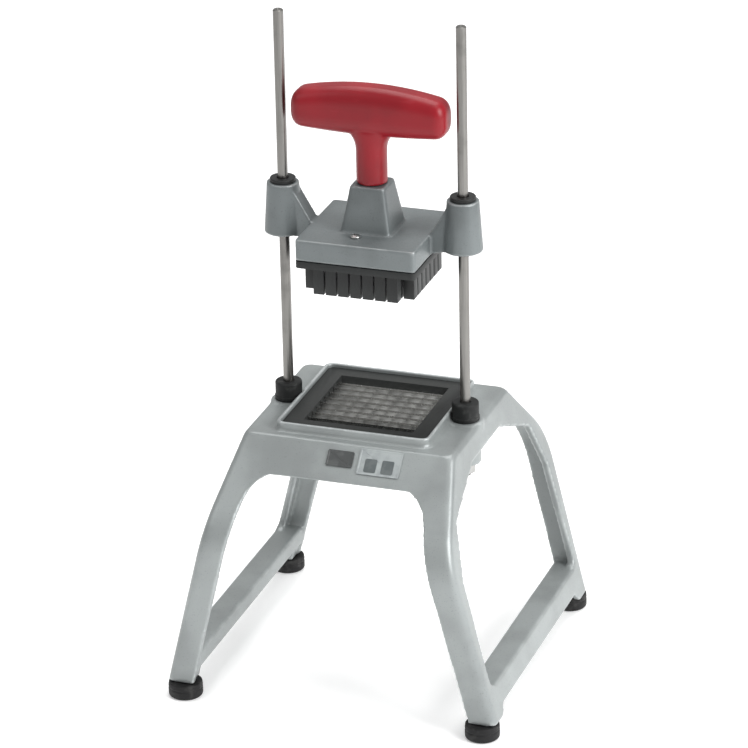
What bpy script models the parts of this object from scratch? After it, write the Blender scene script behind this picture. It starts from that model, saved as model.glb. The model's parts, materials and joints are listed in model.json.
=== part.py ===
"""Vegetable dicer: a cast stand with a blade cartridge, two guide rods and a sliding pusher head.

Metres, +Z up. The origin is on the floor under the middle of the stand, +X to the right, -Y to the
front. Run it with: blender --background --python part.py
"""

import math

import bmesh
import bpy
from mathutils import Matrix

MM = 0.001

# Clearances
FACE_GAP = 0.3 * MM  # between two pieces that touch
RUNNING_CLEARANCE = 0.4 * MM  # around a guide rod, all round
SCREW_CLEARANCE = 0.3 * MM  # around a screw or a stud, all round
BLADE_CLEARANCE = 0.35 * MM  # between a finger of the pusher block and a blade

# Overall sizes of the stand
LEG_BOTTOM = 12.3 * MM
DECK_TOP = 209.0 * MM
BASE_HALF_WIDTH = 134.7 * MM  # outside of the legs at their bottom
DECK_HALF_WIDTH = 84.8 * MM  # outside of the sides at deck height
CREASE_HEIGHT = 126.0 * MM  # the legs are straight below it and curve in above it
CREASE_HALF_DEPTH = 128.0 * MM
BASE_HALF_DEPTH = 124.5 * MM
SHOULDER_RADIUS = 57.0 * MM
SHOULDER_SLOPE = math.radians(45)
CORNER_RADIUS = 6.0 * MM
DECK_EDGE_RADIUS = 3.0 * MM

# Walls, legs and rails of the casting
WALL = 6.0 * MM
DECK_THICKNESS = 6.0 * MM
LEG_FACE_WIDTH = 22.0 * MM
LEG_SIDE_DEPTH = 18.0 * MM
LEG_SIDE_DEPTH_AT_RAIL = 13.0 * MM
ARCH_TOP = 186.0 * MM
ARCH_CORNER_RADIUS = 24.0 * MM
SIDE_OPENING_TOP = 190.0 * MM
SIDE_OPENING_FLAT = 34.0 * MM  # half-length of the level top edge
SIDE_OPENING_RADIUS = 9.0 * MM
RAIL_TOP = 38.5 * MM
RAIL_BOTTOM = 21.0 * MM
RAIL_WIDTH = 20.0 * MM
RAIL_LIP_BOTTOM = 25.0 * MM
RAIL_LIP_WALL = 5.0 * MM
RAIL_END_SLOPE = 8.0 * MM

# Rubber feet
FOOT_RADIUS = 13.5 * MM
FOOT_INSET_X = 13.2 * MM  # from the outside of the legs to the middle of a foot
FOOT_INSET_Y = 7.0 * MM
FOOT_X = BASE_HALF_WIDTH - FOOT_INSET_X
FOOT_Y = BASE_HALF_DEPTH - FOOT_INSET_Y
FOOT_EDGE_RADIUS = 2.5 * MM
FOOT_BLOCK_DEPTH = 17.0 * MM
FOOT_BLOCK_TOP = 36.0 * MM
FOOT_SCREW_RADIUS = 2.5 * MM
FOOT_SCREW_HEAD_RADIUS = 4.8 * MM
FOOT_SCREW_HEAD_HEIGHT = 3.0 * MM
FOOT_SCREW_RECESS = 5.0 * MM  # from the floor to the underside of the head
FOOT_SCREW_REACH = 9.0 * MM  # into the leg

# Guide rods and what holds them
ROD_RADIUS = 4.0 * MM
ROD_SPACING = 145.0 * MM
ROD_TOP = 529.5 * MM
ROD_END_CHAMFER = 0.8 * MM
BOSS_RADIUS = 12.0 * MM
BOSS_BOTTOM = 174.0 * MM
EAR_RADIUS = 14.5 * MM
EAR_BOTTOM = 196.0 * MM
EAR_TOP = 209.8 * MM
ROD_WASHER_RADIUS = 8.5 * MM
ROD_WASHER_THICKNESS = 1.6 * MM
ROD_NUT_ACROSS_FLATS = 13.0 * MM
ROD_NUT_HEIGHT = 6.5 * MM
ROD_THREAD_BELOW_NUT = 3.0 * MM
SPOT_FACE_DEPTH = 0.5 * MM  # how deep the bumper's seat is cut into the ear and the rim
BUMPER_RADIUS = 11.0 * MM
BUMPER_HEIGHT = 15.0 * MM
BUMPER_EDGE_RADIUS = 1.2 * MM

# Blade cartridge and its well in the deck
CARTRIDGE_HALF_WIDTH = 59.0 * MM
CARTRIDGE_HALF_DEPTH = 58.0 * MM
CARTRIDGE_HEIGHT = 15.0 * MM
CARTRIDGE_CORNER_RADIUS = 4.0 * MM
WELL_RIM = 2.8 * MM
WELL_BOTTOM = 193.0 * MM
WELL_LEDGE_TOP = 198.0 * MM
WELL_LEDGE_WIDTH = 6.0 * MM
RIM_TOP = 216.5 * MM
BLADE_OPENING = 88.9 * MM
CELLS = 9
BLADE_THICKNESS = 0.8 * MM
BLADE_HEIGHT = 6.0 * MM
BLADE_SEAT = 4.0 * MM  # how far each end of a blade sits in the cartridge
UPPER_BLADE_BELOW_TOP = 2.0 * MM
BLADE_LEVEL_GAP = 0.8 * MM

# Pusher head
PLATE_HALF_WIDTH = 48.0 * MM
PLATE_HALF_DEPTH = 45.0 * MM
PLATE_TOP = 362.0 * MM
PLATE_THICKNESS = 6.0 * MM
PLATE_CORNER_RADIUS = 3.0 * MM
SKIRT_HEIGHT = 17.0 * MM
SKIRT_WALL = 3.5 * MM
SLEEVE_BOTTOM = 350.0 * MM
SLEEVE_TOP = 391.0 * MM
SLEEVE_BOTTOM_RADIUS = 15.3 * MM
SLEEVE_TOP_RADIUS = 12.5 * MM
GUSSET_WIDTH = 15.0 * MM
GUSSET_DROP = 5.0 * MM  # from the top of the sleeve to the top of its gusset
TOWER_BOTTOM_SIZE = 41.0 * MM
TOWER_TOP_SIZE = 28.0 * MM
TOWER_TOP = 398.0 * MM
TOWER_CORNER_RADIUS = 4.0 * MM
TOWER_WALL = 5.0 * MM
TOWER_ROOF = 8.0 * MM
BUSH_WALL = 2.0 * MM
BUSH_LENGTH = 14.0 * MM
BUSH_FLANGE_RADIUS = 10.0 * MM
BUSH_FLANGE_THICKNESS = 3.0 * MM

# Pusher block and its screws
FINGER_TIP = 319.0 * MM
BLOCK_FLANGE_THICKNESS = 5.5 * MM  # the part of the block that shows under the skirt
BLOCK_TOP_GAP = 3.0 * MM  # under the plate
BLOCK_SCREW_X = 5.0 * MM
BLOCK_SCREW_Y = 27.0 * MM
BLOCK_SCREW_RADIUS = 2.0 * MM
BLOCK_SCREW_HEAD_RADIUS = 4.0 * MM
BLOCK_SCREW_HEAD_HEIGHT = 2.4 * MM
BLOCK_SCREW_REACH = 8.0 * MM

# Handle
HANDLE_HALF_LENGTH = 62.0 * MM
HANDLE_MIDDLE = 454.0 * MM  # height of the bar's centre line at its ends
HANDLE_END_HEIGHT = 28.0 * MM
HANDLE_CROWN = 8.0 * MM  # how much higher the bar's top is in the middle
HANDLE_BELLY = 3.0 * MM  # how much lower its underside is in the middle
HANDLE_DEPTH = 27.0 * MM
HANDLE_END_RADIUS = 8.0 * MM
STEM_RADIUS = 12.0 * MM
STEM_TOP_RADIUS = 10.0 * MM  # inside the bar
STUD_RADIUS = 4.0 * MM
STUD_IN_HANDLE = 24.0 * MM
STUD_BELOW_NUT = 2.0 * MM
STUD_WASHER_RADIUS = 8.0 * MM
STUD_WASHER_THICKNESS = 1.6 * MM
STUD_NUT_ACROSS_FLATS = 13.0 * MM
STUD_NUT_HEIGHT = 6.5 * MM

# Blank plates on the front of the stand
LABEL_THICKNESS = 0.8 * MM
LABEL_ALONG_SLOPE = 13.0 * MM  # from the deck's front edge to the middle of a plate
LEFT_LABEL_X = -3.0 * MM
LEFT_LABEL_WIDTH = 21.0 * MM
LEFT_LABEL_HEIGHT = 13.0 * MM
RIGHT_LABEL_X = 29.0 * MM
RIGHT_LABEL_WIDTH = 34.0 * MM
RIGHT_LABEL_HEIGHT = 21.0 * MM

# Smoothness
ROUND_SEGMENTS = 28
SMALL_SEGMENTS = 20
CORNER_STEPS = 4
OVERLAP = 1.5 * MM  # how far a shape that is joined to another reaches into it
PAST = 20.0 * MM  # how far a cutter runs past what it cuts

SIDES = (-1, 1)
LEFT_RIGHT = {"left": -1, "right": 1}
FRONT_REAR = {"front": -1, "rear": 1}


# Shapes ------------------------------------------------------------------------------------------


def new_object(name, vertices, faces, parent=None, location=(0, 0, 0)):
    """A mesh object with outward faces."""
    mesh = bpy.data.meshes.new(name)
    mesh.from_pydata([tuple(vertex) for vertex in vertices], [], faces)
    work = bmesh.new()
    work.from_mesh(mesh)
    bmesh.ops.recalc_face_normals(work, faces=work.faces)
    work.to_mesh(mesh)
    work.free()
    made = bpy.data.objects.new(name, mesh)
    bpy.context.scene.collection.objects.link(made)
    made.location = location
    made.parent = parent
    return made


def lofted(rings):
    """Vertices and faces of a solid through rings of equal length, closed at both ends."""
    count = len(rings[0])
    vertices = [point for ring in rings for point in ring]
    faces = [tuple(range(count))]
    for level in range(len(rings) - 1):
        low, high = level * count, (level + 1) * count
        for i in range(count):
            j = (i + 1) % count
            faces.append((low + i, low + j, high + j, high + i))
    faces.append(tuple(range((len(rings) - 1) * count, len(rings) * count)))
    return vertices, faces


def arc(centre, radius, start, end, steps):
    """Points of an arc in a plane, both ends included."""
    angles = [start + (end - start) * i / steps for i in range(steps + 1)]
    return [(centre[0] + radius * math.cos(a), centre[1] + radius * math.sin(a)) for a in angles]


def rounded_rectangle(half_x, half_y, radius, height):
    """One horizontal ring: a rectangle with round corners."""
    ring = []
    for quarter, (x, y) in enumerate(((1, 1), (-1, 1), (-1, -1), (1, -1))):
        centre = (x * (half_x - radius), y * (half_y - radius))
        start = quarter * math.pi / 2
        ring += arc(centre, radius, start, start + math.pi / 2, CORNER_STEPS)
    return [(x, y, height) for x, y in ring]


def filleted(corners):
    """An outline through (a, b, radius) corners, each rounded by its own radius."""
    outline = []
    for i, (a, b, radius) in enumerate(corners):
        if not radius:
            outline.append((a, b))
            continue
        before, after = corners[i - 1], corners[(i + 1) % len(corners)]
        into = math.atan2(before[1] - b, before[0] - a)
        out = math.atan2(after[1] - b, after[0] - a)
        turn = (out - into + math.pi) % (2 * math.pi) - math.pi
        half = abs(turn) / 2
        to_centre = radius / math.sin(half)
        middle = into + turn / 2
        centre = (a + to_centre * math.cos(middle), b + to_centre * math.sin(middle))
        swing = math.copysign(math.pi / 2 - half, turn)
        outline += arc(centre, radius, middle + math.pi + swing, middle + math.pi - swing, CORNER_STEPS)
    return outline


def prism(name, outline, axis, low, high, **place):
    """A flat outline extruded along an axis: the outline's numbers are the other two, in order."""
    def at(point, along):
        a, b = point
        return {"X": (along, a, b), "Y": (a, along, b), "Z": (a, b, along)}[axis]

    rings = [[at(point, along) for point in outline] for along in (low, high)]
    return new_object(name, *lofted(rings), **place)


def box(name, x, y, z, **place):
    """A box from (low, high) along each axis."""
    outline = [(x[0], y[0]), (x[1], y[0]), (x[1], y[1]), (x[0], y[1])]
    return prism(name, outline, "Z", *z, **place)


def turned(name, profile, segments=ROUND_SEGMENTS, **place):
    """A solid of revolution about Z. A profile that starts and ends on the axis is closed there."""
    solid = profile[0][0] == 0 and profile[-1][0] == 0
    around = profile[1:-1] if solid else profile
    angles = [2 * math.pi * i / segments for i in range(segments)]
    rings = [[(r * math.cos(a), r * math.sin(a), z) for a in angles] for r, z in around]
    vertices, faces = lofted(rings)
    if not solid:
        last = (len(around) - 1) * segments
        ends = [(last + i, last + (i + 1) % segments, (i + 1) % segments, i) for i in range(segments)]
        faces = faces[1:-1] + ends
    return new_object(name, vertices, faces, **place)


def rod(name, radius, low, high, segments=ROUND_SEGMENTS, **place):
    """A plain cylinder standing on Z."""
    profile = [(0, low), (radius, low), (radius, high), (0, high)]
    return turned(name, profile, segments, **place)


def ring(name, inner, outer, low, high, segments=ROUND_SEGMENTS, **place):
    """A plain ring about Z."""
    profile = [(inner, low), (outer, low), (outer, high), (inner, high)]
    return turned(name, profile, segments, **place)


def hexagon_nut(name, bore, across_flats, low, height, **place):
    """A hexagon nut with its bore open."""
    corner = across_flats / math.sqrt(3)
    angles = [math.pi / 3 * i for i in range(6)]
    outline = [(corner * math.cos(a), corner * math.sin(a)) for a in angles]
    nut = prism(name, outline, "Z", low, low + height, **place)
    hole = rod(name + "_bore", bore, low - PAST, low + height + PAST, SMALL_SEGMENTS, **place)
    return combine(nut, hole, "DIFFERENCE")


def merged(name, pieces):
    """Separate bodies in one helper object, for a single Boolean."""
    work = bmesh.new()
    for piece in pieces:
        shape = piece.data.copy()
        shape.transform(Matrix.Translation(piece.location))
        work.from_mesh(shape)
        bpy.data.meshes.remove(shape)
        bpy.data.objects.remove(piece)
    mesh = bpy.data.meshes.new(name)
    work.to_mesh(mesh)
    work.free()
    made = bpy.data.objects.new(name, mesh)
    bpy.context.scene.collection.objects.link(made)
    return made


def combine(target, other, operation, solver="EXACT"):
    """Cuts or joins with a Boolean that stays on the target. The other shape is hidden."""
    modifier = target.modifiers.new(other.name, "BOOLEAN")
    modifier.operation = operation
    modifier.solver = solver
    modifier.object = other
    other.parent = target.parent
    other.hide_render = True
    other.display_type = "WIRE"
    return target


def smooth(made, angle=math.radians(32)):
    """Smooth shading with sharp edges where faces meet at more than the angle."""
    made.data.shade_smooth()
    made.data.set_sharp_from_angle(angle=angle)
    return made


def finish(made, colour, roughness, metallic):
    """Gives an object its own Principled material."""
    material = bpy.data.materials.new(made.name)
    material.use_nodes = True
    shader = material.node_tree.nodes["Principled BSDF"]
    shader.inputs["Base Color"].default_value = (*colour, 1)
    shader.inputs["Roughness"].default_value = roughness
    shader.inputs["Metallic"].default_value = metallic
    made.data.materials.append(material)
    return smooth(made)


def painted(made):
    return finish(made, (0.45, 0.46, 0.46), 0.45, 0.3)


def grey_casting(made):
    return finish(made, (0.19, 0.20, 0.20), 0.5, 0.3)


def steel(made):
    return finish(made, (0.42, 0.42, 0.41), 0.3, 1.0)


def rubber(made):
    return finish(made, (0.022, 0.023, 0.024), 0.7, 0.0)


def black_plastic(made):
    return finish(made, (0.030, 0.031, 0.032), 0.45, 0.0)


def red_plastic(made):
    return finish(made, (0.36, 0.025, 0.035), 0.4, 0.0)


def label_grey(made):
    return finish(made, (0.10, 0.11, 0.11), 0.5, 0.0)


# Outline of the stand ----------------------------------------------------------------------------


def side_at(height):
    """Half-width of the stand: its sides are flat and lean in."""
    share = (height - LEG_BOTTOM) / (DECK_TOP - LEG_BOTTOM)
    return BASE_HALF_WIDTH + share * (DECK_HALF_WIDTH - BASE_HALF_WIDTH)


def shoulder_end(inset):
    """Half-depth and height where the shoulder's arc meets the slope, for a skin set in this far."""
    radius = SHOULDER_RADIUS - inset
    centre = CREASE_HALF_DEPTH - SHOULDER_RADIUS
    depth = centre + radius * math.cos(SHOULDER_SLOPE)
    return depth, CREASE_HEIGHT + radius * math.sin(SHOULDER_SLOPE)


def face_at(height, inset=0):
    """Half-depth of the stand at a height: straight leg, shoulder arc, then the slope to the deck."""
    if height <= CREASE_HEIGHT:
        share = (CREASE_HEIGHT - height) / (CREASE_HEIGHT - LEG_BOTTOM)
        return CREASE_HALF_DEPTH + share * (BASE_HALF_DEPTH - CREASE_HALF_DEPTH) - inset
    end_depth, end_height = shoulder_end(inset)
    if height >= end_height:
        return end_depth - (height - end_height) / math.tan(SHOULDER_SLOPE)
    radius = SHOULDER_RADIUS - inset
    rise = height - CREASE_HEIGHT
    return CREASE_HALF_DEPTH - SHOULDER_RADIUS + math.sqrt(radius**2 - rise**2)


def skin(name, inset, low, high, edge_radius):
    """The stand's outer shape, or the same shape set in by a wall."""
    lean = math.atan2(BASE_HALF_WIDTH - DECK_HALF_WIDTH, DECK_TOP - LEG_BOTTOM)
    side_inset = inset / math.cos(lean)
    arc_top = shoulder_end(inset)[1]
    steps = 2 * CORNER_STEPS
    heights = [low, CREASE_HEIGHT]
    heights += [CREASE_HEIGHT + (arc_top - CREASE_HEIGHT) * (i + 1) / steps for i in range(steps)]
    radius = max(CORNER_RADIUS - inset, 1.5 * MM)
    rings = [rounded_rectangle(side_at(z) - side_inset, face_at(z, inset), radius, z) for z in heights]
    for i in range(CORNER_STEPS + 1):
        angle = math.pi / 2 * i / CORNER_STEPS
        z = high - edge_radius * (1 - math.sin(angle))
        half_x = side_at(z) - side_inset - edge_radius * (1 - math.cos(angle))
        rings.append(rounded_rectangle(half_x, face_at(z, inset), radius, z))
        if not edge_radius:
            break
    return new_object(name, *lofted(rings))


def arch_cutter():
    """The opening between the front legs, through to the one between the rear legs."""
    foot = side_at(-PAST) - LEG_FACE_WIDTH
    top = side_at(ARCH_TOP) - LEG_FACE_WIDTH
    corners = [
        (-foot, -PAST, 0),
        (foot, -PAST, 0),
        (top, ARCH_TOP, ARCH_CORNER_RADIUS),
        (-top, ARCH_TOP, ARCH_CORNER_RADIUS),
    ]
    reach = CREASE_HALF_DEPTH + PAST
    return prism("arch_cutter", filleted(corners), "Y", -reach, reach)


def side_outline():
    """The opening in each side, between the legs, the deck and the rail."""
    shoulder = shoulder_end(0)[1]
    half = [
        (face_at(RAIL_TOP) - LEG_SIDE_DEPTH_AT_RAIL, RAIL_TOP, SIDE_OPENING_RADIUS),
        (CREASE_HALF_DEPTH - LEG_SIDE_DEPTH, CREASE_HEIGHT, 0),
        (face_at(shoulder) - LEG_SIDE_DEPTH, shoulder, SIDE_OPENING_RADIUS),
        (SIDE_OPENING_FLAT, SIDE_OPENING_TOP, SIDE_OPENING_RADIUS),
    ]
    return filleted(half + [(-y, z, radius) for y, z, radius in reversed(half)])


def underside_outline():
    """What is cut away below the legs and, between the feet, below the rails."""
    reach = CREASE_HALF_DEPTH + PAST
    inner = FOOT_Y - FOOT_RADIUS
    return [
        (-reach, -PAST),
        (reach, -PAST),
        (reach, LEG_BOTTOM),
        (inner, LEG_BOTTOM),
        (inner - RAIL_END_SLOPE, RAIL_BOTTOM),
        (-inner + RAIL_END_SLOPE, RAIL_BOTTOM),
        (-inner, LEG_BOTTOM),
        (-reach, LEG_BOTTOM),
    ]


def rail_flange(side):
    """The level top of a side rail, which reaches inwards from the side wall and turns down in a lip."""
    low = RAIL_TOP - WALL
    inner = side_at(RAIL_TOP) - RAIL_WIDTH
    outline = [
        (side * (inner + RAIL_LIP_WALL), low),
        (side * (side_at(low) - WALL / 2), low),
        (side * (side_at(RAIL_TOP) - WALL / 2), RAIL_TOP),
        (side * inner, RAIL_TOP),
        (side * inner, RAIL_LIP_BOTTOM),
        (side * (inner + RAIL_LIP_WALL), RAIL_LIP_BOTTOM),
    ]
    reach = face_at(RAIL_TOP) - WALL / 2
    return prism("rail_flange", outline, "Y", -reach, reach)


def foot_block(side, end):
    """The solid corner at the bottom of a leg, which takes the foot's screw."""
    low, high = LEG_BOTTOM, FOOT_BLOCK_TOP
    width = LEG_FACE_WIDTH - OVERLAP
    outline = [
        (side * (side_at(low) - width), low),
        (side * (side_at(low) - OVERLAP), low),
        (side * (side_at(high) - OVERLAP), high),
        (side * (side_at(high) - width), high),
    ]
    outer = BASE_HALF_DEPTH - OVERLAP
    y = sorted((end * outer, end * (outer - FOOT_BLOCK_DEPTH)))
    return prism("foot_block", outline, "Y", *y)


def rod_boss(side):
    """The boss under the deck that a guide rod passes through, with its wider top."""
    profile = [
        (0, BOSS_BOTTOM),
        (BOSS_RADIUS, BOSS_BOTTOM),
        (BOSS_RADIUS, EAR_BOTTOM),
        (EAR_RADIUS, EAR_BOTTOM + EAR_RADIUS - BOSS_RADIUS),
        (EAR_RADIUS, EAR_TOP),
        (0, EAR_TOP),
    ]
    return turned("rod_boss", profile, location=(side * ROD_SPACING / 2, 0, 0))


def well_opening(margin):
    """Half-sizes of the blade well, this much smaller than the hole that the cartridge drops in."""
    return (
        CARTRIDGE_HALF_WIDTH + FACE_GAP - margin,
        CARTRIDGE_HALF_DEPTH + FACE_GAP - margin,
    )


def rounded_block(name, half_x, half_y, radius, low, high, **place):
    """An upright block with round vertical corners."""
    rings = [rounded_rectangle(half_x, half_y, radius, z) for z in (low, high)]
    return new_object(name, *lofted(rings), **place)


def cast_frame():
    """The stand, one casting: deck, blade well, four legs, two side rails and two rod bosses."""
    frame = skin("cast_frame", 0, LEG_BOTTOM - 2 * OVERLAP, DECK_TOP, DECK_EDGE_RADIUS)
    cavity = skin("cavity", WALL, -PAST, DECK_TOP - DECK_THICKNESS, 0)
    combine(frame, cavity, "DIFFERENCE")
    reach = BASE_HALF_WIDTH + PAST
    underside = prism("underside_cutter", underside_outline(), "X", -reach, reach)
    combine(frame, underside, "DIFFERENCE")
    combine(frame, arch_cutter(), "DIFFERENCE")
    combine(frame, prism("side_cutter", side_outline(), "X", -reach, reach), "DIFFERENCE")
    blocks = [foot_block(side, end) for side in SIDES for end in SIDES]
    combine(frame, merged("foot_blocks", blocks), "UNION")
    combine(frame, merged("rail_flanges", [rail_flange(side) for side in SIDES]), "UNION")
    combine(frame, merged("rod_bosses", [rod_boss(side) for side in SIDES]), "UNION")
    radius = CARTRIDGE_CORNER_RADIUS + WELL_RIM
    well = rounded_block("well", *well_opening(-WELL_RIM), radius, WELL_BOTTOM, RIM_TOP)
    combine(frame, well, "UNION")
    hole = well_opening(WELL_LEDGE_WIDTH)
    passage = rounded_block("passage", *hole, OVERLAP, WELL_BOTTOM - PAST, RIM_TOP + PAST)
    combine(frame, passage, "DIFFERENCE")
    seat = well_opening(0)
    recess = rounded_block("recess", *seat, CARTRIDGE_CORNER_RADIUS, WELL_LEDGE_TOP, RIM_TOP + PAST)
    combine(frame, recess, "DIFFERENCE")
    rod_hole = ROD_RADIUS + FACE_GAP
    bumper_seat = BUMPER_RADIUS + FACE_GAP
    spot_face = EAR_TOP - SPOT_FACE_DEPTH
    bore_profile = [
        (0, BOSS_BOTTOM - PAST),
        (rod_hole, BOSS_BOTTOM - PAST),
        (rod_hole, spot_face),
        (bumper_seat, spot_face),
        (bumper_seat, spot_face + PAST),
        (0, spot_face + PAST),
    ]
    bores = []
    for side in SIDES:
        place = (side * ROD_SPACING / 2, 0, 0)
        bores.append(turned("bore", bore_profile, location=place))
        for end in SIDES:
            radius = FOOT_SCREW_RADIUS + SCREW_CLEARANCE
            top = LEG_BOTTOM + FOOT_SCREW_REACH + SCREW_CLEARANCE
            place = (side * FOOT_X, end * FOOT_Y, 0)
            bores.append(rod("bore", radius, 0, top, SMALL_SEGMENTS, location=place))
    combine(frame, merged("frame_bores", bores), "DIFFERENCE")
    return painted(frame)


# Pieces on the stand -----------------------------------------------------------------------------


def feet(parent):
    """A rubber foot and its screw under each leg."""
    top = LEG_BOTTOM - FACE_GAP
    bore = FOOT_SCREW_RADIUS + SCREW_CLEARANCE
    recess = FOOT_SCREW_HEAD_RADIUS + SCREW_CLEARANCE
    shelf = FOOT_SCREW_RECESS
    edge = arc((FOOT_RADIUS - FOOT_EDGE_RADIUS, FOOT_EDGE_RADIUS), FOOT_EDGE_RADIUS,
               -math.pi / 2, 0, CORNER_STEPS)
    profile = [(bore, top), (bore, shelf), (recess, shelf), (recess, 0), *edge, (FOOT_RADIUS, top)]
    head_top = shelf - FACE_GAP
    head_bottom = head_top - FOOT_SCREW_HEAD_HEIGHT
    tip = LEG_BOTTOM + FOOT_SCREW_REACH
    screw_profile = [
        (0, head_bottom),
        (FOOT_SCREW_HEAD_RADIUS, head_bottom),
        (FOOT_SCREW_HEAD_RADIUS, head_top),
        (FOOT_SCREW_RADIUS, head_top),
        (FOOT_SCREW_RADIUS, tip),
        (0, tip),
    ]
    for end_name, end in FRONT_REAR.items():
        for side_name, side in LEFT_RIGHT.items():
            place = {"parent": parent, "location": (side * FOOT_X, end * FOOT_Y, 0)}
            rubber(turned(f"foot_{end_name}_{side_name}", profile, **place))
            name = f"foot_screw_{end_name}_{side_name}"
            steel(turned(name, screw_profile, SMALL_SEGMENTS, **place))


def guide_rods(parent):
    """Two rods, each with a rubber bumper on the deck and a washer and nut under its boss."""
    washer_top = BOSS_BOTTOM - FACE_GAP
    nut_top = washer_top - ROD_WASHER_THICKNESS - FACE_GAP
    rod_bottom = nut_top - ROD_NUT_HEIGHT - ROD_THREAD_BELOW_NUT
    end_radius = ROD_RADIUS - ROD_END_CHAMFER
    hole = ROD_RADIUS + FACE_GAP
    bumper_low = EAR_TOP - SPOT_FACE_DEPTH + FACE_GAP
    bumper_high = bumper_low + BUMPER_HEIGHT
    rod_profile = [
        (0, rod_bottom),
        (end_radius, rod_bottom),
        (ROD_RADIUS, rod_bottom + ROD_END_CHAMFER),
        (ROD_RADIUS, ROD_TOP - ROD_END_CHAMFER),
        (end_radius, ROD_TOP),
        (0, ROD_TOP),
    ]
    bumper_profile = [
        (hole, bumper_low),
        (BUMPER_RADIUS, bumper_low),
        (BUMPER_RADIUS, bumper_high - BUMPER_EDGE_RADIUS),
        (BUMPER_RADIUS - BUMPER_EDGE_RADIUS, bumper_high),
        (hole, bumper_high),
    ]
    for side_name, side in LEFT_RIGHT.items():
        place = {"parent": parent, "location": (side * ROD_SPACING / 2, 0, 0)}
        steel(turned(f"guide_rod_{side_name}", rod_profile, **place))
        rubber(turned(f"rod_bumper_{side_name}", bumper_profile, **place))
        low = washer_top - ROD_WASHER_THICKNESS
        steel(ring(f"rod_washer_{side_name}", hole, ROD_WASHER_RADIUS, low, washer_top, **place))
        low = nut_top - ROD_NUT_HEIGHT
        name = f"rod_nut_{side_name}"
        steel(hexagon_nut(name, hole, ROD_NUT_ACROSS_FLATS, low, ROD_NUT_HEIGHT, **place))


def blade_places():
    """Where the blades cross the opening, one between each two cells."""
    pitch = BLADE_OPENING / CELLS
    return [pitch * (i + 1) - BLADE_OPENING / 2 for i in range(CELLS - 1)]


def blade_levels():
    """(bottom, top) of the upper blades, which run along X, and of the lower ones, along Y."""
    top = WELL_LEDGE_TOP + FACE_GAP + CARTRIDGE_HEIGHT - UPPER_BLADE_BELOW_TOP
    upper = (top - BLADE_HEIGHT, top)
    lower_top = upper[0] - BLADE_LEVEL_GAP
    return upper, (lower_top - BLADE_HEIGHT, lower_top)


def blade_box(name, along, place, level, grow=0.0, **where):
    """One blade or, with grow, the tool for its slot, which is that much wider on every side."""
    across = (place - BLADE_THICKNESS / 2 - grow, place + BLADE_THICKNESS / 2 + grow)
    reach = BLADE_OPENING / 2 + BLADE_SEAT + grow
    length = (-reach, reach)
    height = (level[0] - grow, level[1] + grow)
    x, y = (length, across) if along == "X" else (across, length)
    return box(name, x, y, height, **where)


def blade_cartridge(parent):
    """A square frame that drops into the deck, with two crossed sets of blades in its slots."""
    low = WELL_LEDGE_TOP + FACE_GAP
    cartridge = rounded_block(
        "blade_cartridge",
        CARTRIDGE_HALF_WIDTH,
        CARTRIDGE_HALF_DEPTH,
        CARTRIDGE_CORNER_RADIUS,
        low,
        low + CARTRIDGE_HEIGHT,
        parent=parent,
    )
    half = BLADE_OPENING / 2
    opening = box("cartridge_opening", (-half, half), (-half, half), (low - PAST, low + 2 * PAST))
    combine(cartridge, opening, "DIFFERENCE")
    for level_name, along, level in zip(("upper", "lower"), "XY", blade_levels()):
        slots = [blade_box("slot", along, place, level, FACE_GAP) for place in blade_places()]
        combine(cartridge, merged(f"{level_name}_slots", slots), "DIFFERENCE")
        for i, place in enumerate(blade_places()):
            name = f"blade_{level_name}_{i + 1}"
            steel(blade_box(name, along, place, level, parent=parent))
    black_plastic(cartridge)


def labels(parent):
    """Two blank plates on the sloping front of the stand."""
    front_edge = face_at(DECK_TOP)
    down = LABEL_ALONG_SLOPE
    middle = (
        -front_edge - down * math.cos(SHOULDER_SLOPE),
        DECK_TOP - down * math.sin(SHOULDER_SLOPE),
    )
    plates = {
        "left": (LEFT_LABEL_X, LEFT_LABEL_WIDTH, LEFT_LABEL_HEIGHT),
        "right": (RIGHT_LABEL_X, RIGHT_LABEL_WIDTH, RIGHT_LABEL_HEIGHT),
    }
    for side_name, (x, width, height) in plates.items():
        z = (FACE_GAP, FACE_GAP + LABEL_THICKNESS)
        half_x, half_y = width / 2, height / 2
        plate = box(f"label_plate_{side_name}", (-half_x, half_x), (-half_y, half_y), z, parent=parent)
        plate.location = (x, *middle)
        plate.rotation_euler = (SHOULDER_SLOPE, 0, 0)
        label_grey(plate)


# Pusher ------------------------------------------------------------------------------------------


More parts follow.
